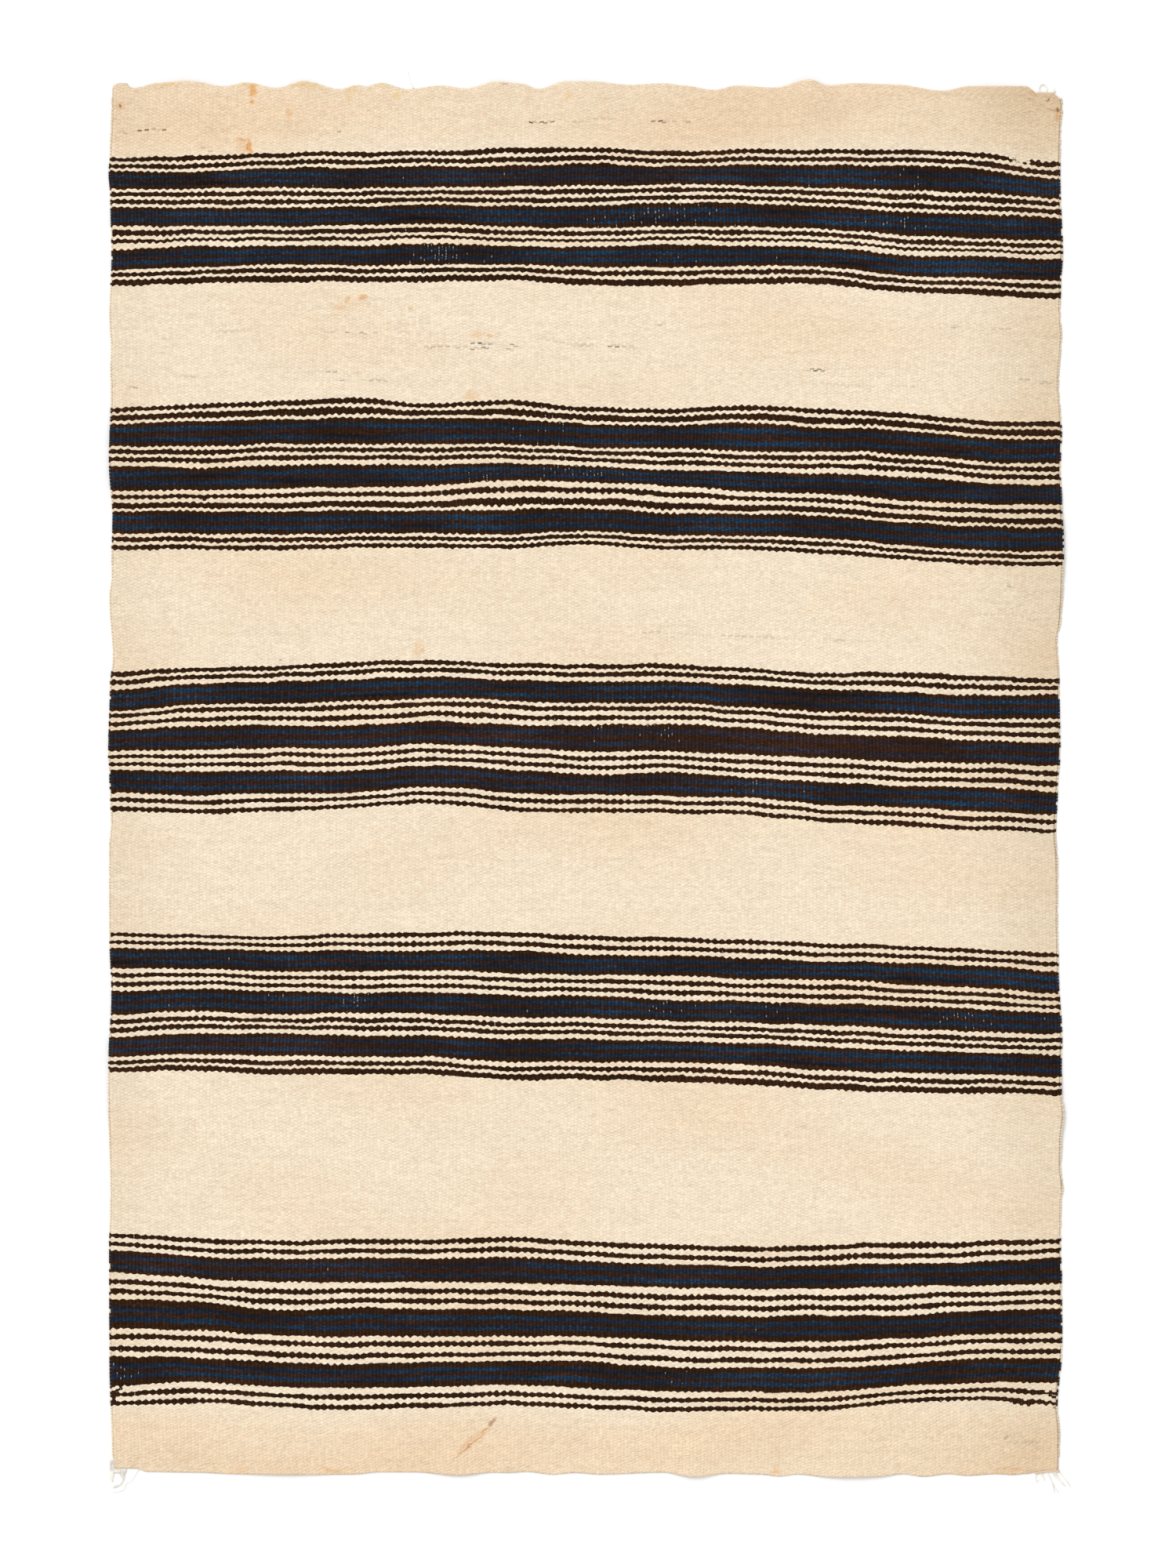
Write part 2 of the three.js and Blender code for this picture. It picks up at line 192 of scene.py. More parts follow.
BOTTOM_THREAD = [
    [[34.6, 1765.6, 1.8], [37.4, 1766.2, 1.8]],
    [
        [35.8, 1765.8, 1.4], [28.6, 1777, 1.1], [25.4, 1780.8, 1.4], [21, 1782.8, 2.2],
        [18.8, 1786.6, 1.2], [18.2, 1789.2, 1.1], [14.4, 1792.3, 1], [3.2, 1794.8, 0.8],
    ],
]

# The places across the photograph where the weft lines were read off.
STATIONS = [150, 250, 350, 450, 550, 650, 750, 850, 950, 1050, 1150, 1250, 1340]

# Each zone of stripes as eight weft lines: its first stripe's upper edge, the upper and lower edges of its
# three broad bands, and its last stripe's lower edge. A row gives one line's height at the stations.
ZONES = [
    [
        [201, 199, 196, 194, 193, 189, 189, 193, 191, 191, 192, 196, 207],
        [218, 219, 215, 214, 212, 212, 209, 212, 211, 211, 212, 217, 228],
        [242, 241, 240, 241, 239, 239, 237, 236, 237, 240, 244, 247, 254],
        [265, 265, 265, 264, 261, 263, 262, 259, 259, 263, 270, 273, 278],
        [289, 289, 289, 288, 287, 290, 291, 290, 290, 292, 300, 305, 308],
        [319, 314, 314, 313, 311, 314, 315, 312, 314, 316, 325, 327, 331],
        [345, 342, 338, 339, 338, 338, 341, 341, 340, 341, 352, 355, 358],
        [365, 362, 360, 360, 360, 358, 364, 365, 363, 363, 373, 377, 382],
    ],
    [
        [521, 516, 512, 508, 515, 511, 520, 521, 518, 522, 527, 536, 539],
        [541, 537, 536, 532, 534, 534, 541, 542, 540, 545, 549, 558, 561],
        [570, 570, 567, 567, 567, 567, 572, 572, 576, 576, 580, 589, 591],
        [595, 597, 594, 593, 593, 591, 595, 599, 602, 604, 608, 616, 618],
        [626, 626, 623, 622, 620, 613, 616, 619, 627, 631, 638, 643, 645],
        [652, 652, 652, 651, 651, 650, 648, 655, 655, 659, 666, 671, 674],
        [681, 681, 682, 681, 681, 682, 678, 683, 684, 687, 696, 702, 704],
        [701, 701, 702, 699, 699, 699, 695, 701, 702, 706, 714, 720, 722],
    ],
    [
        [857, 852, 849, 844, 842, 846, 847, 847, 852, 858, 858, 862, 866],
        [880, 872, 869, 866, 863, 867, 869, 869, 873, 879, 882, 887, 886],
        [907, 899, 898, 895, 891, 894, 897, 897, 902, 908, 911, 917, 918],
        [931, 926, 925, 925, 920, 924, 925, 923, 928, 936, 939, 944, 947],
        [958, 957, 954, 955, 949, 954, 959, 958, 963, 967, 972, 974, 977],
        [982, 984, 983, 983, 976, 982, 987, 985, 991, 997, 1002, 1004, 1010],
        [1012, 1014, 1012, 1011, 1004, 1011, 1014, 1016, 1018, 1026, 1030, 1035, 1039],
        [1034, 1037, 1035, 1030, 1025, 1034, 1037, 1037, 1040, 1048, 1054, 1059, 1062],
    ],
    [
        [1190, 1192, 1194, 1191, 1189, 1189, 1193, 1195, 1199, 1203, 1206, 1211, 1216],
        [1209, 1210, 1212, 1212, 1212, 1212, 1218, 1218, 1222, 1226, 1228, 1232, 1239],
        [1235, 1236, 1239, 1239, 1238, 1241, 1244, 1244, 1249, 1249, 1256, 1260, 1267],
        [1264, 1261, 1264, 1266, 1265, 1269, 1270, 1275, 1276, 1280, 1282, 1287, 1292],
        [1294, 1290, 1294, 1292, 1293, 1298, 1298, 1302, 1304, 1308, 1312, 1316, 1319],
        [1322, 1318, 1318, 1320, 1321, 1325, 1325, 1328, 1330, 1335, 1339, 1342, 1344],
        [1348, 1345, 1346, 1347, 1349, 1354, 1355, 1355, 1358, 1365, 1369, 1370, 1374],
        [1367, 1366, 1370, 1370, 1371, 1377, 1377, 1379, 1384, 1389, 1394, 1394, 1397],
    ],
    [
        [1573, 1579, 1582, 1580, 1581, 1578, 1583, 1587, 1589, 1587, 1584, 1583, 1580],
        [1594, 1602, 1605, 1604, 1605, 1603, 1608, 1612, 1615, 1613, 1611, 1609, 1604],
        [1623, 1630, 1635, 1635, 1635, 1637, 1639, 1642, 1644, 1644, 1641, 1639, 1638],
        [1657, 1659, 1670, 1668, 1669, 1670, 1673, 1677, 1679, 1677, 1677, 1671, 1670],
        [1695, 1697, 1704, 1704, 1704, 1704, 1705, 1709, 1711, 1711, 1707, 1702, 1700],
        [1729, 1731, 1737, 1740, 1736, 1736, 1736, 1743, 1744, 1744, 1739, 1732, 1732],
        [1768, 1763, 1768, 1771, 1769, 1766, 1770, 1775, 1775, 1775, 1768, 1764, 1764],
        [1792, 1789, 1794, 1798, 1795, 1792, 1796, 1800, 1799, 1798, 1790, 1786, 1792],
    ],
]

# The weaver's chart of each zone: how many picks each stripe takes, between one weft line and the next.
# Runs start with brown, then ivory, and a broad band is brown and indigo by turns. Gaps start with ivory.
BAND_14 = (3, 3, 2, 3, 3)
BAND_15 = (3, 3, 3, 3, 3)
BAND_16 = (3, 3, 4, 3, 3)
BAND_17 = (4, 3, 3, 3, 4)
CHARTS = [
    [(3, 2, 3, 2), BAND_14, (2, 3, 2, 3, 2), BAND_14, (2, 3, 2, 2, 3), BAND_14, (2, 3, 2, 4)],
    [(3, 2, 4, 2), BAND_16, (2, 3, 2, 3, 3), BAND_14, (3, 3, 3, 4, 2), BAND_15, (2, 3, 2, 3)],
    [(3, 2, 3, 3), BAND_15, (2, 3, 3, 3, 3), BAND_16, (3, 3, 3, 3, 3), BAND_15, (3, 3, 3, 3)],
    [(3, 3, 3, 3), BAND_14, (3, 3, 3, 3, 3), BAND_15, (3, 3, 2, 3, 3), BAND_15, (3, 3, 2, 4)],
    [(3, 3, 3, 3), BAND_16, (4, 3, 3, 3, 3), BAND_17, (3, 3, 4, 3, 3), BAND_17, (4, 3, 3, 3)],
]
BAND_INDIGO = (0.0, 1.0, 0.12, 1.0, 0.0)

# A chart's ramp holds this many picks, and the zone starts a few picks into it.
CHART_ROOM = 128
CHART_LEAD = 8

# The weave's lattice: its pitches in mm, how far its picks stray in picks, how far its beads bulge in
# warps, and how far along a bead its colour follows the chart, and how much further at the corners.
WARP_PITCH = 4.55
PICK_PITCH = 1.95
PICK_WANDER = 1.5
PICK_JITTER = 0.6
PICK_UNEVEN = 0.26
BEAD_BULGE = 0.14
BEAD_SHARE = 0.5
BEAD_CORNER = 0.55

# How strongly the wool's small marks show, from 0 to 1, how wide they are and how often they come.
# The crease strength is painted shade along the middle of each bead column.
CREASE_SHADE = 0.3
FIBRE_RELIEF = 0.35
BLOTCH_STRENGTH = 0.16
# The dash strength is painted shade in broken dashes in the grooves between the beads.
DASH_SHADE = 0.12
DULL_STRENGTH = 0.6
RUST_STRENGTH = 0.6
WARP_STRENGTH = 0.5
SLOT_WIDTH = 0.16
WORN_ODDS = 0.4
STRAY_ODDS = 0.0008
HAIR_REACH = 0.9
STAIN_JOSTLE = 0.004

# The stage: the strength of the sky and of the key light, how wide the key is in degrees and where it
# comes from, the floor's side in metres and the lens in mm.
SKY_STRENGTH = 0.8
KEY_STRENGTH = 1.2
KEY_SPREAD = 25
KEY_FROM = (-0.6, 0.75, 0.9)
FLOOR_SIDE = 12
LENS = 85

# Stains, rows of [x, y, reach along, reach across, turn in degrees, strength] in the photograph.
ORANGE_STAINS = [
    [323, 116, 6.5, 9, 0, 0.8], [321.5, 130, 4.5, 4, 0, 0.8], [369, 145, 6, 8, 0, 0.4],
    [318.5, 188, 3.4, 11, 0, 0.85], [310, 178.5, 9, 3, 0, 0.6], [309, 188, 9, 9, 0, 0.25],
    [312, 207, 4, 4, 0, 0.3], [625, 429, 5, 2.6, -8, 0.6], [608, 427, 12, 6, 0, 0.3],
    [604, 1836, 30, 6, -39, 0.3], [520, 290, 3, 2, 0, 0.8], [533, 827, 8, 12, 20, 0.28],
    [540, 830, 3, 3, 0, 0.4], [443, 382, 3.5, 3.5, 0, 0.5], [463, 380, 7, 3.4, 0, 0.55],
    [477, 398, 4, 2.4, 0, 0.45], [524, 393, 4, 3, 0, 0.45], [434, 393, 11, 2.4, -8, 0.35],
    [450, 388, 30, 14, 0, 0.1], [600, 505, 12, 7, 0, 0.3], [153, 137, 8, 8, 0, 0.3],
    [1288, 1874, 20, 4, 0, 0.2], [304, 1876, 14, 3, 0, 0.25], [426, 1876, 12, 3, 0, 0.35],
    [991, 1877, 11, 3, 0, 0.35], [1348, 149, 4, 9, 0, 0.5], [1320, 118, 9, 3, 0, 0.45],
    [1090, 913, 40, 8, 0, 0.12],
]
YELLOW_STAINS = [
    [211, 108, 20, 4, 0, 0.5], [388, 108, 28, 6, 4, 0.5], [446, 114, 9, 16, 0, 0.35],
    [487, 107, 9, 5, 0, 0.45], [506, 123, 7, 6, 0, 0.5], [516, 118, 5, 2, 0, 0.4],
    [724, 122, 9, 6, 0, 0.4], [318, 108, 14, 4, 0, 0.4], [640, 760, 130, 40, 0, 0.1],
]
BROWN_STAINS = [
    [153, 137, 2.2, 2.4, 0, 0.75], [597, 1845, 30, 1.1, -39, 0.45], [628, 1813.5, 7.5, 3, -50, 0.6],
    [618, 1824, 6, 1.6, -45, 0.35], [1349, 141, 2.5, 2.5, 0, 0.7], [1343, 1796, 2.5, 2, 0, 0.8],
    [470, 141.4, 1.6, 1.4, 0, 0.6], [643.5, 108, 3, 1.5, 0, 0.5], [1337, 127.5, 5.5, 1.3, -38, 0.9],
    [1312.5, 126, 2.2, 0.9, 0, 0.6], [1330, 135, 5, 1.4, 12, 0.3], [1314, 143, 4, 1.2, 0, 0.25],
    [1341, 141, 9, 2, 8, 0.3], [358, 842, 2.2, 2, 0, 0.6], [478, 712, 3, 1.5, 20, 0.25],
]

# Dark hairs spun into single picks of the ivory wool, rows of [x, y, reach, strength] in the photograph.
DARK_HAIRS = [
    [157, 169.6, 8, 0.35], [175, 168, 3, 0.8], [185, 166.2, 3.4, 0.9], [196, 165.6, 6, 0.35],
    [208, 166, 4, 0.8], [177, 137.6, 3, 0.4], [268, 164, 6, 0.25], [300, 160, 6, 0.25],
    [262, 189, 4, 0.3], [267, 193, 5, 0.35], [433, 167, 6, 0.35], [677.5, 157, 4.4, 1],
    [687.5, 157.4, 4, 0.95], [696, 157.4, 3, 0.9], [705.5, 157.4, 2.6, 0.9], [714.5, 157.4, 2.6, 0.5],
    [735, 155.5, 16, 0.2], [770, 152, 18, 0.25], [833, 154, 4, 0.8], [843, 155.4, 5.4, 0.95],
    [875.5, 155.6, 4, 0.7], [858, 155.4, 8, 0.3], [604.5, 438.8, 4.4, 0.75], [614, 438.8, 3.6, 1],
    [623, 439, 3, 0.7], [631, 439, 3, 0.35], [604.5, 444.8, 4.4, 0.8], [614, 444, 3.6, 0.8],
    [623, 444.6, 3, 0.6], [651, 439.4, 4, 0.6], [651, 445.4, 4, 0.5], [659, 440.6, 3, 0.5],
    [746, 440, 18, 0.3], [786, 441.7, 11, 0.7], [805, 443, 8, 0.25], [1042, 472, 12, 0.75],
    [1156, 494, 14, 0.25], [1305, 484, 12, 0.4], [1332, 488, 12, 0.35], [1278, 419, 11, 0.35],
    [1218, 417, 4, 0.35], [841, 414, 4, 0.4], [991, 491, 3, 0.4], [211, 433, 5, 0.3],
    [422, 424, 9, 0.3], [444, 424.5, 3, 0.5], [462, 425.3, 5, 0.8], [480, 424.6, 4, 0.3],
    [514, 423.5, 10, 0.2], [422, 474, 11, 0.4], [441, 485, 5, 0.4], [480, 486, 16, 0.4],
    [240, 480, 14, 0.25], [171, 495, 7, 0.5], [882, 809, 26, 0.2], [940, 811, 24, 0.35],
    [976, 812.5, 13, 0.25], [1070, 817, 8, 0.35], [1100, 816, 20, 0.15], [1288, 748.7, 6, 0.45],
    [1319, 791, 9, 0.25], [1272.7, 1522, 4, 0.4], [295, 422, 22, 0.2], [1310, 1840, 26, 0.25],
    [1287, 1833, 6, 0.4], [1316, 1838, 6, 0.35], [1292, 205, 4, 0.9], [1297, 208, 3, 0.9],
    [1309, 208, 3, 0.7],
]
RED_HAIRS = [
    [562, 442, 20, 0.6], [548, 443, 6, 0.5], [590, 443, 8, 0.4], [712, 436, 14, 0.3],
    [1075, 491, 34, 0.3], [830, 807.5, 14, 0.35], [1280, 785, 32, 0.2], [380, 475, 30, 0.2],
]

# Picks that end, wander or were mended, rows of [x, y, reach along, reach across] in the photograph.
IVORY_MENDS = [
    [1301, 204, 15, 3.2], [148, 1770, 4, 1.4], [154, 1774, 7, 1.6], [148, 1783, 1.6, 5],
    [1294, 1782, 3, 2], [1338, 1786, 11, 2.2], [1344, 1773.8, 8, 1.6], [1308.5, 1783.5, 2.4, 2],
    [700, 645, 1.5, 3],
]
BROWN_MENDS = [
    [1334, 207.6, 15, 1.6], [144.6, 1780, 2.2, 10], [1344, 1780.5, 11, 2.2], [1305, 1789, 16, 2],
    [148, 1769, 8, 4], [1133, 1705, 2.2, 3.4], [262, 637, 3, 1.6], [213, 923, 3, 1.6],
    [150, 1720, 5, 3],
]

# Where the white warp has worn through, the dark wool is rusty and the ivory is dull, rows of
# [x, y, reach along, reach across, amount] in the photograph.
WORN_PLACES = [
    [860, 272, 40, 16, 0.5], [790, 283, 40, 6, 0.9], [950, 285, 14, 6, 0.6], [1155, 235, 16, 14, 0.5],
    [1112, 250, 70, 12, 0.25], [560, 330, 30, 10, 1], [555, 318, 12, 6, 0.7], [850, 320, 40, 6, 0.4],
    [1140, 290, 30, 8, 0.4], [710, 540, 34, 24, 0.35], [760, 604, 26, 6, 0.8], [620, 612, 60, 10, 0.25],
    [790, 930, 60, 10, 0.5], [850, 941, 16, 8, 0.6], [455, 1276, 24, 8, 1], [380, 1274, 40, 6, 0.3],
    [650, 1285, 14, 16, 0.5], [850, 1293, 18, 8, 0.7], [940, 1293, 60, 8, 0.3],
    [1230, 1303, 24, 10, 0.6], [860, 1760, 14, 8, 0.5], [160, 1755, 18, 22, 0.7],
    [955, 1010, 60, 30, 0.2], [700, 600, 30, 30, 0.3],
]
RUSTY_PLACES = [
    [1030, 945, 170, 26, 0.9], [600, 945, 400, 24, 0.3], [750, 990, 400, 26, 0.3],
    [300, 1330, 220, 26, 0.4], [360, 1612, 320, 26, 0.35], [760, 235, 300, 16, 0.3],
]
# The dull places darken the ivory along the sides and ends and in a few small patches.
DULL_PLACES = [
    [1340, 120, 110, 70, 0.8], [1345, 500, 90, 420, 0.55], [1345, 1200, 80, 600, 0.55],
    [1345, 1830, 130, 80, 0.4], [145, 140, 60, 60, 0.35], [145, 1000, 50, 800, 0.3],
    [230, 1862, 120, 12, 0.25], [1000, 150, 300, 60, 0.2], [1180, 1850, 200, 24, 0.15],
    [370, 168, 16, 10, 0.35], [276, 170, 14, 16, 0.3],
]


def from_srgb(red, green, blue):
    """A colour as it is read off a picture, made linear for the shaders."""
    shares = [part / 255 for part in (red, green, blue)]
    return tuple(s / 12.92 if s <= 0.04045 else ((s + 0.055) / 1.055) ** 2.4 for s in shares)


def tint(name, description, colour):
    """A colour that the panel shows."""
    return bpy.props.FloatVectorProperty(
        name=name, description=description, default=from_srgb(*colour), subtype="COLOR", min=0, max=1
    )


def length(name, description, millimetres):
    """A size that the panel shows."""
    return bpy.props.FloatProperty(
        name=name, description=description, subtype="DISTANCE", unit="LENGTH", default=millimetres * MM
    )


class BlanketSizes(bpy.types.PropertyGroup):
    warps: bpy.props.IntProperty(
        name="Warps", description="Warp threads across the blanket", default=264, min=100, max=280
    )
    pick: length("Pick", "How far one pick of weft takes the cloth on", PICK_PITCH)
    rib: length("Rib", "Depth of the hollows between the warp ribs", 0.45)
    row: length("Row", "Longest step of the mesh along the warp", 13.5)
    roll: length("Roll", "How far the rolled ends stand above the cloth", 0.2)
    cord_twist: length("Cord twist", "Length of one turn of the two-ply side cords", 7)
    fibre: length("Fibre", "Thickness of one wool fibre lock in a frayed end", 0.36)


class BlanketColours(bpy.types.PropertyGroup):
    ivory: tint("Ivory", "Undyed wool of the fields", (247, 233, 208))
    # Painted shade: the ivory's colour in the hollows between the beads; the random grain mixes it in as
    # well.
    ivory_shade_and_grain: tint("Ivory shade", "Undyed wool down between the beads", (229, 206, 180))
    peach: tint("Peach", "Warmer undyed wool of some picks", (249, 231, 212))
    # Dull: a greyer tint laid over the ivory along the sides and ends and in a few small patches.
    dull: tint("Dull", "Handled wool at the ends and sides", (216, 206, 190))
    brown: tint("Brown", "Near-black brown wool", (49, 28, 10))
    rust: tint("Rust", "Redder brown wool of some picks", (66, 37, 18))
    navy: tint("Navy", "Near-black indigo wool", (25, 20, 21))
    indigo: tint("Indigo", "Indigo-dyed wool", (26, 38, 54))
    teal: tint("Teal", "Paler, greener indigo of some picks", (31, 62, 88))
    # Painted shade: near-black laid into the hollows between the ribs of the dark wool.
    gap: tint("Gap", "Dark wool down between the ribs", (15, 10, 8))
    warp: tint("Warp", "White warp where it has worn through", (196, 190, 180))
    orange: tint("Orange", "Orange stains", (240, 190, 118))
    yellow: tint("Yellow", "Yellow stains", (247, 232, 190))
    umber: tint("Umber", "Brown stains", (160, 112, 68))
    # Also used as painted shade in broken dashes in the grooves between the beads.
    hair_and_dash_shade: tint("Hair", "Dark hairs in the ivory wool", (70, 54, 42))
    cord: tint("Cord", "Two-ply side cords", (232, 214, 184))
    frayed: tint("Frayed", "Frayed ends", (254, 249, 238))
    edge: tint("Edge", "The cloth's last picks beside the frayed ends", (226, 204, 174))
    floor: tint("Floor", "Plain pale floor", (252, 252, 252))


def sizes():
    return bpy.context.scene.blanket_sizes


def colours():
    return bpy.context.scene.blanket_colours


def stand_out(edge, at):
    """How far an edge stands out at places along it, easing from one row to the next."""
    along, out = np.array(edge, float).T
    at = np.clip(at, along[0], along[-1])
    row = np.clip(np.searchsorted(along, at, side="right") - 1, 0, len(along) - 2)
    share = (at - along[row]) / (along[row + 1] - along[row])
    return out[row] + (out[row + 1] - out[row]) * share**2 * (3 - 2 * share)


def lift(across, down):
    """How far the cockles lift the cloth off the floor."""
    total = np.zeros(np.broadcast(across, down).shape)
    for middle, height, reach_across, reach_down, rise in COCKLES:
        far = np.minimum(np.hypot((across - middle) / reach_across, (down - height) / reach_down), 1)
        total = total + rise * np.cos(far * math.pi / 2) ** 2
    return total


def drawn_in(radius, distance):
    """How far a side draws in at a distance from its end, round a worn corner."""
    short = np.clip(radius - distance, 0, radius)
    return radius - np.sqrt(radius**2 - short**2)


def top_end(across):
    return -stand_out(TOP_EDGE, across)


def bottom_end(across):
    return LENGTH + stand_out(BOTTOM_EDGE, across)


def left_side(down):
    top = top_end(CORNERS["top_left"])
    bottom = bottom_end(CORNERS["bottom_left"])
    corners = drawn_in(CORNERS["top_left"], down - top) + drawn_in(CORNERS["bottom_left"], bottom - down)
    return SIDE_INSET - stand_out(LEFT_EDGE, down) + corners


def right_side(down):
    top = top_end(WIDTH - CORNERS["top_right"])
    bottom = bottom_end(WIDTH - CORNERS["bottom_right"])
    corners = drawn_in(CORNERS["top_right"], down - top) + drawn_in(CORNERS["bottom_right"], bottom - down)
    return WIDTH - SIDE_INSET + stand_out(RIGHT_EDGE, down) - corners


def smooth_through(places, values, at):
    """A smooth curve through given values, level beyond its ends."""
    places = np.array(places, float)
    values = np.array(values, float)
    slopes = np.gradient(values, places)
    at = np.clip(at, places[0], places[-1])
    k = np.clip(np.searchsorted(places, at, side="right") - 1, 0, len(places) - 2)
    step = places[k + 1] - places[k]
    t = (at - places[k]) / step
    return (
        (1 + 2 * t) * (1 - t) ** 2 * values[k]
        + t * (1 - t) ** 2 * step * slopes[k]
        + t**2 * (3 - 2 * t) * values[k + 1]
        + t**2 * (t - 1) * step * slopes[k + 1]
    )


def zone_line(zone, number, across):
    return smooth_through(STATIONS, ZONES[zone][number], across + PHOTO_LEFT) - PHOTO_TOP


def weft_lines():
    """Every weft line from the top end to the bottom end, as (function of across, pick number)."""
    pick = sizes().pick / MM
    lines = [(top_end, 0)]
    for zone, rows in enumerate(ZONES):
        field = np.mean(rows[0]) - PHOTO_TOP - lines_height(lines[-1])
        number = lines[-1][1] + round(field / pick)
        for k in range(len(rows)):
            lines.append((lambda across, z=zone, n=k: zone_line(z, n, across), number))
            number += sum(CHARTS[zone][k]) if k < len(rows) - 1 else 0
    field = LENGTH - lines_height(lines[-1])
    lines.append((bottom_end, lines[-1][1] + round(field / pick)))
    return lines


def lines_height(line):
    """The mean height of one weft line, down from the top end's line."""
    return float(np.mean(line[0](np.linspace(0, WIDTH, 60))))


def zone_starts():
    """The pick number at which each zone's chart starts."""
    numbers = [number for _, number in weft_lines()]
    return [numbers[1 + 8 * zone] for zone in range(len(ZONES))]


def pick_number(across, down):
    """The pick number at places on the cloth, even between one weft line and the next."""
    lines = [(line(across), number) for line, number in weft_lines()]
    total = np.zeros(np.shape(across))
    for (upper, first), (lower, last) in zip(lines, lines[1:]):
        total = total + (last - first) * np.clip((down - upper) / (lower - upper), 0, 1)
    return total


def soft_places(rows, across, down):
    """How strongly the listed places of the photograph act at points on the cloth."""
    total = np.zeros(np.shape(across))
    for x, y, reach_x, reach_y, amount in rows:
        far = np.hypot((across - x + PHOTO_LEFT) / reach_x, (down - y + PHOTO_TOP) / reach_y)
        total = total + amount * np.exp(-(far**2))
    return np.clip(total, 0, 1)


def in_frame(across, down, height):
    """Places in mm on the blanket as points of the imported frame, in metres."""
    x = CLOTH_LOW.x + (np.asarray(across, float) - CLOTH_LEFTMOST) * MM
    y = CLOTH_HIGH.y - (np.asarray(down, float) - CLOTH_TOPMOST) * MM
    return np.stack(np.broadcast_arrays(x, y, np.asarray(height, float) * MM), axis=-1)


def new_piece(name, points, faces, materials, stands_for=(), face_materials=None):
    """A mesh piece at the origin, smooth, riding on the blanket."""
    mesh = bpy.data.meshes.new(name)
    mesh.from_pydata(np.asarray(points).reshape(-1, 3).tolist(), [], faces)
    mesh.shade_smooth()
    for material in materials:
        mesh.materials.append(material)
    if face_materials is not None:
        mesh.polygons.foreach_set("material_index", face_materials)
    piece = bpy.data.objects.new(name, mesh)
    bpy.context.scene.collection.objects.link(piece)
    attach(piece, "root")
    if stands_for:
        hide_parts(*stands_for)
    return piece


def keep_attribute(piece, name, vectors):
    layer = piece.data.attributes.new(name, "FLOAT_VECTOR", "POINT")
    layer.data.foreach_set("vector", np.asarray(vectors, "f").ravel())


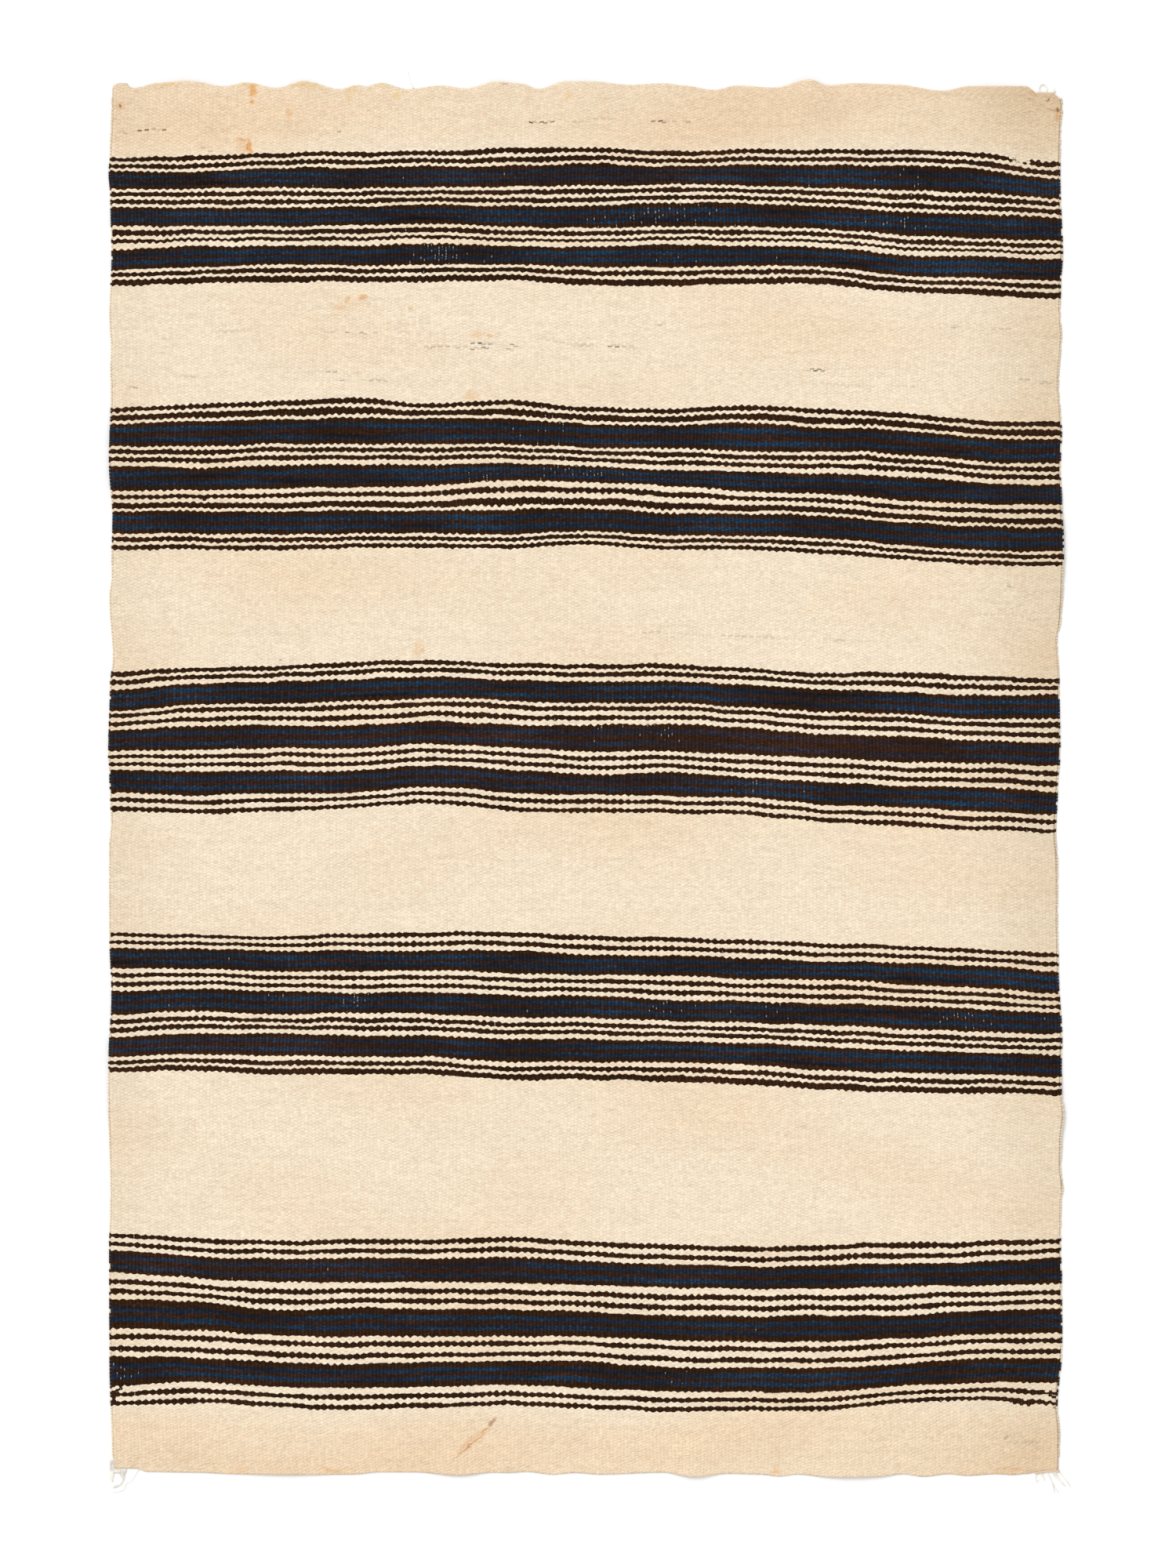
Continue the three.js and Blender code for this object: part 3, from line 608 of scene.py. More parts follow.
class Recipe:
    """Adds one material's nodes and joins them."""

    def __init__(self, name):
        self.material = bpy.data.materials.new(name)
        self.material.use_nodes = True
        self.tree = self.material.node_tree
        self.tree.nodes.clear()

    def feed(self, socket, value):
        """Links a socket to another, or sets it to a number, a vector or a colour."""
        if isinstance(value, bpy.types.NodeSocket):
            self.tree.links.new(value, socket)
        elif socket.type == "RGBA":
            socket.default_value = (*value, 1)
        else:
            socket.default_value = value

    def add(self, kind, *values, **settings):
        """A new node with its settings, and its first inputs fed in order."""
        node = self.tree.nodes.new(kind)
        for key, value in settings.items():
            setattr(node, key, value)
        for socket, value in zip(node.inputs, values):
            self.feed(socket, value)
        return node

    def math(self, operation, *values, clamp=False):
        return self.add("ShaderNodeMath", *values, operation=operation, use_clamp=clamp).outputs[0]

    def plus(self, first, second):
        return self.math("ADD", first, second)

    def minus(self, first, second, clamp=False):
        return self.math("SUBTRACT", first, second, clamp=clamp)

    def times(self, first, second, clamp=False):
        return self.math("MULTIPLY", first, second, clamp=clamp)

    def vector(self, operation, *values):
        node = self.add("ShaderNodeVectorMath", *values, operation=operation)
        return node.outputs["Value" if operation in ("LENGTH", "DOT_PRODUCT") else "Vector"]

    def stretched(self, vector, amount):
        """Coordinates for a pattern that is drawn out along the stripes."""
        return self.vector("MULTIPLY", vector, (1.0, amount, 1.0))

    def join(self, x, y):
        return self.add("ShaderNodeCombineXYZ", x, y, 0.0).outputs[0]

    def split(self, vector):
        return self.add("ShaderNodeSeparateXYZ", vector).outputs

    def grey(self, value):
        return self.add("ShaderNodeCombineColor", value, value, value).outputs[0]

    def attribute(self, name):
        return self.add("ShaderNodeAttribute", attribute_name=name).outputs["Vector"]

    def place(self):
        return self.add("ShaderNodeTexCoord").outputs["Object"]

    def blend(self, share, first, second, way="MIX"):
        node = self.add("ShaderNodeMix", share, data_type="RGBA", blend_type=way)
        self.feed(node.inputs[6], first)
        self.feed(node.inputs[7], second)
        return node.outputs[2]

    def between(self, value, span, levels=(0.0, 1.0), smooth=False):
        """A value's place in a span, as a place between two levels."""
        kind = "SMOOTHSTEP" if smooth else "LINEAR"
        return self.add("ShaderNodeMapRange", value, *span, *levels, interpolation_type=kind).outputs[0]

    def cloud(self, vector, scale, detail, colour=False):
        node = self.add("ShaderNodeTexNoise", vector)
        self.feed(node.inputs["Scale"], scale)
        self.feed(node.inputs["Detail"], detail)
        return node.outputs["Color"] if colour else node.outputs[0]

    def speckle(self, vector):
        return self.add("ShaderNodeTexWhiteNoise", vector, noise_dimensions="3D").outputs["Value"]

    def steps(self, value, changes):
        """Levels held from one place of a chart to the next, from a list of (place, level)."""
        node = self.add("ShaderNodeValToRGB")
        ramp = node.color_ramp
        ramp.interpolation = "CONSTANT"
        ramp.elements[0].position = 0
        ramp.elements[0].color = (0, 0, 0, 0)
        ramp.elements.remove(ramp.elements[1])
        for at, level in changes:
            ramp.elements.new(at / CHART_ROOM).color = (level, level, level, level)
        self.feed(node.inputs[0], value)
        return node.outputs["Alpha"]

    def turned(self, vector, turn):
        """The vector in axes turned by so many degrees, clockwise as seen from above."""
        cosine, sine = math.cos(math.radians(turn)), math.sin(math.radians(turn))
        along = self.vector("DOT_PRODUCT", vector, (cosine, -sine, 0))
        return self.join(along, self.vector("DOT_PRODUCT", vector, (sine, cosine, 0)))

    def spot(self, vector, middle, reach):
        """The distance from a spot's middle, 1 at its rim."""
        scale = (1 / reach[0], 1 / reach[1], 0)
        shift = (-middle[0] / reach[0], -middle[1] / reach[1], 0)
        return self.vector("LENGTH", self.vector("MULTIPLY_ADD", vector, scale, shift))

    def finish(self, colour, height=None, depth=0.0004, strength=0.6, sheen=0.03, roughness=0.95):
        shader = self.add("ShaderNodeBsdfPrincipled")
        self.feed(shader.inputs["Base Color"], colour)
        shader.inputs["Roughness"].default_value = roughness
        shader.inputs["Specular IOR Level"].default_value = 0.06
        shader.inputs["Sheen Weight"].default_value = sheen
        shader.inputs["Sheen Roughness"].default_value = 0.6
        if height is not None:
            bump = self.add("ShaderNodeBump")
            bump.inputs["Strength"].default_value = strength
            bump.inputs["Distance"].default_value = depth
            self.feed(bump.inputs["Height"], height)
            self.feed(shader.inputs["Normal"], bump.outputs[0])
        output = self.add("ShaderNodeOutputMaterial")
        self.feed(output.inputs["Surface"], shader.outputs[0])
        return self.material


def chart_changes(zone):
    """Where the zone's chart turns to brown or indigo wool and back, and to indigo and back."""
    dark, indigo = [], []
    at = 0.0
    for number, run in enumerate(CHARTS[zone]):
        is_band = number % 2 == 1
        starts_dark = number == 0 or is_band
        for k, picks in enumerate(run):
            is_dark = is_band or (k % 2 == 0) == starts_dark
            dark.append((at, float(is_dark)))
            indigo.append((at, BAND_INDIGO[k] if is_band else 0.0))
            at += picks
    dark.append((at, 0.0))
    indigo.append((at, 0.0))
    lists = []
    for changes in (dark, indigo):
        kept = [(0.0, 0.0)]
        for place, level in changes:
            if level != kept[-1][1]:
                kept.append((place, level))
        lists.append([(place + CHART_LEAD, level) for place, level in kept[1:]])
    return lists


def on_the_lattice(x, y):
    """A place of the photograph as a warp number and a pick number."""
    across = np.array([float(x - PHOTO_LEFT)])
    down = np.array([float(y - PHOTO_TOP)])
    share = (across - left_side(down)) / (right_side(down) - left_side(down))
    return float(sizes().warps * share[0]), float(pick_number(across, down)[0])


def bead_lattice(recipe, place):
    """Where a point lies among the beads, each two picks tall over one warp, between the next warp's."""
    warp, pick, slant = recipe.split(recipe.attribute("weave"))
    wander = recipe.between(recipe.cloud(place, 16, 2), (0, 1), (-PICK_WANDER, PICK_WANDER))
    jitter = recipe.between(recipe.cloud(place, 170, 0), (0, 1), (-PICK_JITTER, PICK_JITTER))
    loose_pick = recipe.plus(recipe.plus(pick, wander), jitter)
    swing = recipe.math("COSINE", recipe.times(warp, math.pi))
    nod = recipe.math("SINE", recipe.times(loose_pick, math.pi))
    bulged = recipe.plus(warp, recipe.times(recipe.times(swing, nod), BEAD_BULGE))
    column = recipe.math("FLOOR", bulged)
    parity = recipe.math("FLOORED_MODULO", column, 2.0)
    across = recipe.math("MULTIPLY_ADD", recipe.minus(bulged, column), 2.0, -1.0)
    leant_pick = recipe.plus(loose_pick, recipe.times(across, slant))
    half = recipe.math("MULTIPLY_ADD", recipe.minus(leant_pick, parity), 0.5, 0.25)
    bead = recipe.math("MULTIPLY_ADD", recipe.math("FLOOR", half), 2.0, parity)
    middle = recipe.plus(bead, 0.5)
    along = recipe.minus(leant_pick, middle)
    chance = recipe.speckle(recipe.join(column, bead))
    return SimpleNamespace(
        column=column, bead=bead, middle=middle, across=across, along=along, chance=chance
    )


def charted(recipe, x, beads):
    """How far a point is dark wool, and how far indigo, from the zones' charts."""
    thickness_place = recipe.join(recipe.times(x, 24.0), recipe.times(beads.middle, 0.45))
    thickness = recipe.cloud(thickness_place, 1.0, 1.0)
    uneven = recipe.between(thickness, (0.3, 0.7), (-PICK_UNEVEN, PICK_UNEVEN))
    spread = recipe.math("MULTIPLY_ADD", recipe.math("POWER", beads.across, 2.0), BEAD_CORNER, BEAD_SHARE)
    shown = recipe.plus(recipe.math("MULTIPLY_ADD", beads.along, spread, beads.middle), uneven)
    is_dark, is_indigo = 0.0, 0.0
    for zone, start in enumerate(zone_starts()):
        low = start - CHART_LEAD
        share = recipe.between(shown, (low, low + CHART_ROOM))
        dark_changes, indigo_changes = chart_changes(zone)
        is_dark = recipe.plus(is_dark, recipe.steps(share, dark_changes))
        is_indigo = recipe.plus(is_indigo, recipe.steps(share, indigo_changes))
    return is_dark, is_indigo


def mended(recipe, lattice_place, is_dark):
    """The dark wool with the listed picks added and taken out."""
    for rows, adds in ((BROWN_MENDS, True), (IVORY_MENDS, False)):
        for spot_x, spot_y, reach_x, reach_y in rows:
            reach = (reach_x / WARP_PITCH, reach_y / PICK_PITCH)
            far = recipe.spot(lattice_place, on_the_lattice(spot_x, spot_y), reach)
            inside = recipe.math("LESS_THAN", far, 1.0)
            if adds:
                is_dark = recipe.math("MAXIMUM", is_dark, inside)
            else:
                is_dark = recipe.times(is_dark, recipe.minus(1.0, inside))
    return is_dark


def ivory_wool(recipe, place, beads, wool, warm, dull):
    """Undyed wool: with painted shade between the beads and along a crease down each column, uneven in
    tone, warmer in places, with stray hairs.
    """
    hues = colours()
    # Painted shade: the ivory turns to its shade colour where the beads fall away and along a crease down
    # each column; the random grain mixes it in too.
    crease_shade = recipe.between(recipe.math("ABSOLUTE", beads.across), (0.0, 0.35), (-CREASE_SHADE, 0.0))
    rough = recipe.between(wool.grain, (0.25, 0.75), (-0.6, 0.5))
    shade_and_grain = recipe.plus(recipe.plus(wool.height, crease_shade), rough)
    ivory = recipe.blend(recipe.between(shade_and_grain, (-0.1, 0.85)), hues.ivory_shade_and_grain, hues.ivory)
    peach = recipe.math("MULTIPLY_ADD", recipe.between(wool.broad, (0.4, 0.75)), 0.35, warm, clamp=True)
    ivory = recipe.blend(peach, ivory, hues.peach, "MULTIPLY")
    tone = recipe.plus(recipe.times(wool.yarn, 0.75), recipe.times(beads.chance, 0.25))
    light = recipe.grey(recipe.between(tone, (0.25, 0.75), (0.93, 1.06)))
    ivory = recipe.blend(1.0, ivory, light, "MULTIPLY")
    blotch = recipe.between(recipe.cloud(place, 75, 1), (0.48, 0.75), (0.0, BLOTCH_STRENGTH))
    ivory = recipe.blend(blotch, ivory, hues.peach, "MULTIPLY")
    # Painted shade: broken dark dashes in the grooves where the beads meet, in the hair colour.
    low_side = recipe.math("GREATER_THAN", recipe.math("ABSOLUTE", beads.along), 0.66)
    streaks = recipe.cloud(recipe.stretched(place, 3.0), 42, 2)
    bead_end_shade = recipe.between(streaks, (0.5, 0.72), (0.0, DASH_SHADE))
    ivory = recipe.blend(recipe.times(bead_end_shade, low_side), ivory, hues.hair_and_dash_shade)
    # Darker and greyer along the sides and ends and in a few small patches.
    return recipe.blend(recipe.times(dull, DULL_STRENGTH), ivory, hues.dull, "MULTIPLY")


def dark_wool(recipe, place, beads, wool, warm, wear, is_indigo):
    """Brown and indigo wool, uneven in dye and tone, with painted shade between the ribs and the warp worn
    bare.
    """
    hues = colours()
    mood = recipe.plus(wool.yarn, wool.patch)
    brown = recipe.blend(recipe.between(mood, (0.95, 1.35)), hues.brown, hues.rust)
    indigo = recipe.blend(recipe.between(mood, (0.85, 1.3)), hues.indigo, hues.teal)
    streaks = recipe.cloud(recipe.vector("MULTIPLY", place, (0.5, 6.0, 1.0)), 11, 1)
    indigo = recipe.blend(recipe.between(streaks, (0.26, 0.52)), hues.navy, indigo)
    dark = recipe.blend(is_indigo, brown, indigo)
    dark = recipe.blend(recipe.times(warm, -RUST_STRENGTH, clamp=True), dark, hues.rust)
    bead_tone = recipe.between(beads.chance, (0.0, 1.0), (0.85, 1.15))
    dark_tone = recipe.times(bead_tone, recipe.between(wool.grain, (0.25, 0.75), (0.55, 1.5)))
    dark = recipe.blend(1.0, dark, recipe.grey(dark_tone), "MULTIPLY")
    # Painted shade: where the rib falls away between the ribs, the dark wool turns to the gap colour.
    rib = recipe.plus(recipe.times(wool.crown, 0.8), recipe.times(wool.height, 0.2))
    dark = recipe.blend(recipe.between(rib, (0.3, 0.85)), hues.gap, dark)
    in_slot = recipe.math("LESS_THAN", recipe.math("ABSOLUTE", beads.across), SLOT_WIDTH)
    odds = recipe.math("MULTIPLY_ADD", wear, WORN_ODDS, STRAY_ODDS)
    bare = recipe.times(recipe.math("LESS_THAN", beads.chance, odds), in_slot)
    shows = recipe.between(wool.bow, (0.5, 0.9), (0.0, WARP_STRENGTH))
    return recipe.blend(recipe.times(bare, shows), dark, hues.warp)


def haired(recipe, lattice_place, beads, ivory):
    """The ivory wool with the listed dark and red hairs spun in."""
    hues = colours()
    strand = recipe.between(recipe.math("ABSOLUTE", beads.along), (0.3, 0.6), (1.0, 0.0))
    for rows, hue in ((DARK_HAIRS, hues.hair_and_dash_shade), (RED_HAIRS, hues.umber)):
        spun_in = 0.0
        for spot_x, spot_y, reach_x, strength in rows:
            reach = (reach_x / WARP_PITCH, HAIR_REACH)
            far = recipe.spot(lattice_place, on_the_lattice(spot_x, spot_y), reach)
            spun_in = recipe.math("MAXIMUM", recipe.between(far, (0.7, 1.2), (strength, 0.0)), spun_in)
        ivory = recipe.blend(recipe.times(spun_in, strand), ivory, hue)
    return ivory


def stained(recipe, place, cloth):
    """The cloth with the listed stains, their edges jostled."""
    hues = colours()
    noise = recipe.cloud(place, 130, 1, colour=True)
    reach = STAIN_JOSTLE
    jostle = recipe.vector("MULTIPLY_ADD", noise, (2 * reach, 2 * reach, 0), (-reach, -reach, 0))
    stain_place = recipe.vector("ADD", place, jostle)
    turned_places = {0: stain_place}
    stains = ((ORANGE_STAINS, hues.orange), (YELLOW_STAINS, hues.yellow), (BROWN_STAINS, hues.umber))
    for rows, hue in stains:
        for spot_x, spot_y, reach_x, reach_y, turn, strength in rows:
            if turn not in turned_places:
                turned_places[turn] = recipe.turned(stain_place, turn)
            x, y, _ = in_frame(spot_x - PHOTO_LEFT, spot_y - PHOTO_TOP, 0)
            cosine, sine = math.cos(math.radians(turn)), math.sin(math.radians(turn))
            middle = (cosine * x - sine * y, sine * x + cosine * y)
            far = recipe.spot(turned_places[turn], middle, (reach_x * MM, reach_y * MM))
            share = recipe.between(far, (0.4, 1.25), (strength, 0.0), smooth=True)
            cloth = recipe.blend(share, cloth, hue, "MULTIPLY")
    return cloth


def woven_wool():
    """Weft-faced wool: beads of weft over every other warp, coloured pick by pick from the chart."""
    recipe = Recipe("striped weave")
    place = recipe.place()
    x, _, _ = recipe.split(place)
    dull, warm, wear = recipe.split(recipe.attribute("tone"))
    beads = bead_lattice(recipe, place)

    round_off = recipe.minus(1.0, recipe.math("POWER", beads.across, 2.0), clamp=True)
    crown = recipe.math("SQRT", round_off)
    bow = recipe.minus(1.0, recipe.times(recipe.math("POWER", beads.along, 2.0), 0.6))
    height = recipe.times(crown, bow)
    fibres = recipe.cloud(recipe.stretched(place, 2.6), 900, 1)
    relief = recipe.plus(height, recipe.times(fibres, FIBRE_RELIEF))
    yarn_place = recipe.join(recipe.times(x, 14.0), recipe.times(beads.bead, 3.7))
    wool = SimpleNamespace(
        crown=crown,
        bow=bow,
        height=height,
        yarn=recipe.cloud(yarn_place, 1.0, 1.0),
        patch=recipe.cloud(place, 7.0, 1.0),
        broad=recipe.cloud(recipe.stretched(place, 3.0), 3.2, 0.0),
        grain=recipe.cloud(recipe.stretched(place, 3.0), 210, 1),
    )

    is_dark, is_indigo = charted(recipe, x, beads)
    ragged_column = recipe.plus(recipe.plus(beads.column, 0.25), recipe.times(beads.chance, 0.5))
    lattice_place = recipe.join(ragged_column, beads.middle)
    is_dark = mended(recipe, lattice_place, is_dark)
    is_indigo = recipe.times(is_indigo, is_dark)

    ivory = ivory_wool(recipe, place, beads, wool, warm, dull)
    dark = dark_wool(recipe, place, beads, wool, warm, wear, is_indigo)
    ivory = haired(recipe, lattice_place, beads, ivory)
    cloth = stained(recipe, place, recipe.blend(is_dark, ivory, dark))
    return recipe.finish(cloth, relief, depth=0.0006, strength=0.55)


def spun_wool(name, hue):
    """Undyed spun or frayed wool, with fine fibres and uneven tone."""
    recipe = Recipe(name)
    place = recipe.place()
    fibres = recipe.cloud(recipe.vector("MULTIPLY", place, (2.4, 1.0, 1.0)), 1400, 3)
    tone = recipe.cloud(place, 60, 2)
    grey = recipe.grey(recipe.between(tone, (0.3, 0.7), (0.92, 1.04)))
    colour = recipe.blend(1.0, hue, grey, "MULTIPLY")
    fine = recipe.grey(recipe.between(fibres, (0.3, 0.7), (0.93, 1.03)))
    colour = recipe.blend(1.0, colour, fine, "MULTIPLY")
    return recipe.finish(colour, fibres, depth=0.0003, strength=0.5, sheen=0.5)


def row_places(lines):
    """The mesh's rows as (line number, share of the way to the next line)."""
    heights = [lines_height(line) for line in lines]
    rows = []
    for k, (upper, lower) in enumerate(zip(heights, heights[1:])):
        steps = max(1, round((lower - upper) * MM / sizes().row))
        rows += [(k, n / steps) for n in range(steps)]
    top_gap = heights[1] - heights[0]
    bottom_gap = heights[-1] - heights[-2]
    near_top = [(0, d / top_gap) for d in END_STEPS[1:]]
    near_bottom = [(len(lines) - 2, 1 - d / bottom_gap) for d in END_STEPS]
    return sorted(set(rows + near_top + near_bottom))


def grid_places(lines, rows, share):
    """Where the mesh's rows and columns cross, across and down in mm."""
    across = np.zeros((len(rows), len(share)))
    down = np.zeros((len(rows), len(share)))
    for r, (k, t) in enumerate(rows):
        a = WIDTH * share
        for _ in range(3):
            d = (1 - t) * lines[k][0](a) + t * lines[k + 1][0](a)
            left = left_side(d)
            a = left + (right_side(d) - left) * share
        across[r], down[r] = a, d
    return across, down


def sheet_faces(row_count, columns):
    """A closed sheet's faces, how many are its upper face's, and where its underside's points lie."""
    top = np.arange(row_count * columns).reshape(row_count, columns)
    kept = np.unique(np.append(np.arange(0, row_count, UNDER_ROW), row_count - 1))
    low = top[kept].copy()
    inside = low[1:-1, 1:-1]
    source = inside.ravel().copy()
    inside[...] = top.size + np.arange(inside.size).reshape(inside.shape)

    a, b, c, d = top[:-1, :-1], top[1:, :-1], top[1:, 1:], top[:-1, 1:]
    faces = np.stack([a, b, c, d], axis=-1).reshape(-1, 4).tolist()
    top_count = len(faces)
    a, b, c, d = low[:-1, 1:-2], low[1:, 1:-2], low[1:, 2:-1], low[:-1, 2:-1]
    faces += np.stack([a, d, c, b], axis=-1).reshape(-1, 4).tolist()
    for n, (first, last) in enumerate(zip(kept, kept[1:])):
        for side, next_in in ((0, 1), (columns - 1, columns - 2)):
            rim_run = [int(top[r, side]) for r in range(first, last + 1)]
            near, far = int(low[n, next_in]), int(low[n + 1, next_in])
            fan = [[near, p, q] for p, q in zip(rim_run, rim_run[1:])] + [[near, rim_run[-1], far]]
            if near == rim_run[0]:
                fan = fan[1:]
            faces += fan if side else [face[::-1] for face in fan]
    faces = [face for face in faces if len(set(face)) == len(face)]
    return faces, top_count, source


def add_bake_map(cloth, wide, tall, top_count):
    """The map for the bake, which gives the upper face most of its room."""
    corner = np.zeros(len(cloth.data.loops), "i")
    cloth.data.loops.foreach_get("vertex_index", corner)
    starts = np.zeros(len(cloth.data.polygons), "i")
    cloth.data.polygons.foreach_get("loop_start", starts)
    is_top = np.arange(len(corner)) < starts[top_count]
    over, under = (start + share * wide[corner] for start, share in (BAKE_TOP, BAKE_UNDER))
    u = np.where(is_top, over, under)
    v = BAKE_DOWN[0] + BAKE_DOWN[1] * tall[corner]
    bake = cloth.data.uv_layers.new(name="OFBake")
    bake.data.foreach_set("uv", np.stack([u, v], axis=-1).astype("f").ravel())


def weave_cloth():
    """The cloth as one closed sheet with its warp ribs on both faces."""
    lines = weft_lines()
    rows = row_places(lines)
    warps = sizes().warps
    rib = sizes().rib / MM
    roll = sizes().roll / MM
    columns = 2 * warps + 1
    share = np.linspace(0, 1, columns)
    rng = np.random.default_rng(11)
    jog = rng.normal(0, JOG, (len(rows), columns))
    ripple = rng.normal(0, RIPPLE, (len(rows), columns))
    across, down = grid_places(lines, rows, share)
    inner = np.s_[1:-1, 1:-1]
    sway = 0.9 * np.sin(down / 61 + across / 83) + 0.5 * np.sin(down / 23 + across / 37)
    across[inner] += (jog + sway)[inner]

    picks = np.array([[lines[k][1] + t * (lines[k + 1][1] - lines[k][1])] for k, t in rows])
    pick = np.repeat(picks, columns, axis=1)
    warp = np.repeat(share[None] * warps, len(rows), axis=0)
    bottom_field = np.clip((pick - lines[-2][1]) / FIELD_FADE, 0, 1)
    top_field = np.clip((lines[1][1] - pick) / FIELD_FADE, 0, 1)
    slant = SLANT + BOTTOM_SLANT * bottom_field
    wear = soft_places(WORN_PLACES, across, down)
    dull = soft_places(DULL_PLACES, across, down)
    rust = soft_places(RUSTY_PLACES, across, down)
    # Above nought it warms the ivory wool, and below nought it reddens the dark wool.
    warmth = BOTTOM_WARMTH * bottom_field + TOP_WARMTH * top_field - rust

    is_valley = (np.arange(columns) % 2 == 0)[None]
    from_end = np.minimum(down - top_end(across), bottom_end(across) - down)
    end_rise = roll * np.interp(from_end, END_STEPS, END_RISES)
    base = lift(across, down)
    relief = np.where(is_valley, rib, 0) + ripple
    above = base + THICKNESS + FACE_CLEAR - relief + np.maximum(end_rise, -roll)
    under = base + np.maximum(relief, 0)
    for edges, share_up in ((np.s_[:, [0, -1]], SIDE_RIM), (np.s_[[0, -1], :], END_RIM)):
        above[edges] = (base + share_up * THICKNESS)[edges]

    faces, top_count, source = sheet_faces(len(rows), columns)
    points = np.concatenate([
        in_frame(across, down, above).reshape(-1, 3),
        in_frame(across, down, under).reshape(-1, 3)[source],
    ])
    cloth = new_piece("cloth_woven", points, faces, [woven_wool()], ["cloth"])

    def all_points(values):
        return np.concatenate([values.ravel(), values.ravel()[source]])

    keep_attribute(cloth, "weave", np.stack([all_points(v) for v in (warp, pick, slant)], axis=-1))
    keep_attribute(cloth, "tone", np.stack([all_points(v) for v in (dull, warmth, wear)], axis=-1))
    tall = 1 - (down - down.min()) / (down.max() - down.min())
    add_bake_map(cloth, all_points(warp / warps), all_points(tall), top_count)
    return cloth


def circle(count, phase=0.0):
    """Even angles all the way round."""
    return phase + 2 * math.pi * np.arange(count) / count


def tube(path, radii, sides, phase=0.0, tall=None):
    """Points and faces of a closed tube along a path in mm, round unless its half height is given."""
    path = np.asarray(path, float)
    ahead = np.gradient(path, axis=0)
    ahead /= np.maximum(np.linalg.norm(ahead, axis=1, keepdims=True), 1e-9)
    side = np.cross(ahead, [0.0, 0.0, 1.0])
    is_upright = np.linalg.norm(side, axis=1) < 1e-3
    side[is_upright] = [1.0, 0.0, 0.0]
    side /= np.linalg.norm(side, axis=1, keepdims=True)
    up = np.cross(side, ahead)
    turn = circle(sides, phase)[None, :, None]
    wide = np.asarray(radii, float)[:, None, None]
    high = wide if tall is None else tall
    points = path[:, None] + side[:, None] * np.cos(turn) * wide + up[:, None] * np.sin(turn) * high
    ring = np.arange(len(path) * sides).reshape(len(path), sides)
    beside = np.roll(ring, -1, axis=1)
    faces = np.stack([ring[:-1], beside[:-1], beside[1:], ring[1:]], axis=-1).reshape(-1, 4).tolist()
    faces.append(ring[0][::-1].tolist())
    faces.append(ring[-1].tolist())
    return points.reshape(-1, 3), faces


def joined(parts):
    """Several (points, faces) as one list of points and one of faces, and how many faces each has."""
    points, faces, counts = [], [], []
    start = 0
    for some_points, some_faces in parts:
        points.append(some_points)
        faces += [[n + start for n in face] for face in some_faces]
        counts.append(len(some_faces))
        start += len(some_points)
    return np.concatenate(points), faces, counts


def cord_line(edge, hand, down):
    """Where a side cord's middle lies across the blanket, for the left hand or the right."""
    inset = CORD_WIDTH / 2 - stand_out(edge, down)
    return inset if hand < 0 else WIDTH - inset


def cord_plies(edge, hand):
    """The two twisted plies of a side cord."""
    twist = sizes().cord_twist / MM
    down = np.arange(CORD_FROM, CORD_TO, twist / 8)
    middle = cord_line(edge, hand, down)
    height = lift(middle, down) + CORD_HEIGHT / 2
    parts = []
    for ply in range(2):
        turn = 2 * math.pi * down / twist + ply * math.pi
        path = [middle + PLY_SWAY * np.cos(turn), down, height + PLY_RISE * np.sin(turn)]
        parts.append(tube(np.stack(path, axis=-1), np.full(len(down), PLY_RADIUS), 6))
    return parts


def bind_side(name, edge, hand, bare_share, woven, cord_wool):
    """A two-ply cord with the weft turned round it, and a share of it left bare."""
    parts = cord_plies(edge, hand)
    cord_faces = sum(len(faces) for _, faces in parts)
    weave = [np.zeros((sum(len(points) for points, _ in parts), 3))]
    rng = np.random.default_rng(5 if hand < 0 else 9)
    at = np.linspace(CORD_FROM + 2, CORD_TO - 2, 4000)
    number = pick_number(cord_line(edge, hand, at), at)
    for pick in range(int(number[0]) // 2 * 2 + 1, int(number[-1]), 2):
        middle_at, low_at, high_at = np.interp([pick + 0.5, pick - 0.5, pick + 1.5], number, at)
        fat = (high_at - low_at) * rng.uniform(0.92, 1.12)
        swell = max(0.0, rng.normal(0, 0.14))
        if rng.random() < bare_share:
            continue
        middle = float(cord_line(edge, hand, middle_at))
        points, faces = wrap(middle, middle_at, float(lift(middle, middle_at)), fat, swell)
        parts.append((points, faces))
        weave.append(np.tile([-0.5, pick + 0.5, 0.0], (len(points), 1)))
    points, faces, _ = joined(parts)
    is_turn = np.zeros(len(faces), "i")
    is_turn[cord_faces:] = 1
    cord = new_piece(
        f"{name}_bound", in_frame(*points.T), faces, [cord_wool, woven], [name], is_turn
    )
    keep_attribute(cord, "weave", np.concatenate(weave))
    dull = soft_places(DULL_PLACES, points[:, 0], points[:, 1])
    keep_attribute(cord, "tone", np.stack([dull, 0 * dull, 0 * dull], axis=-1))
    return cord


def wrap(middle, down, base, fat, swell):
    """One turn of weft round the cord, fat along the cord and thin across it."""
    turn, lobe = np.meshgrid(circle(10), circle(6), indexing="ij")
    out = TURN_THICK * np.cos(lobe)
    points = np.stack([
        middle + (TURN_WIDE + swell + out) * np.cos(turn),
        down + fat / 2 * np.sin(lobe) + TURN_LEAN * np.sin(turn),
        base + TURN_TALL + TURN_THICK + (TURN_TALL + out) * np.sin(turn),
    ], axis=-1)
    here = np.arange(turn.size).reshape(turn.shape)
    ahead = np.roll(here, -1, axis=0)
    corners = [here, ahead, np.roll(ahead, -1, axis=1), np.roll(here, -1, axis=1)]
    return points.reshape(-1, 3), np.stack(corners, axis=-1).reshape(-1, 4).tolist()


def distances(places):
    """How far along its own run each place lies, in mm."""
    return np.concatenate([[0], np.cumsum(np.hypot(*np.diff(places[:, :2], axis=0).T))])


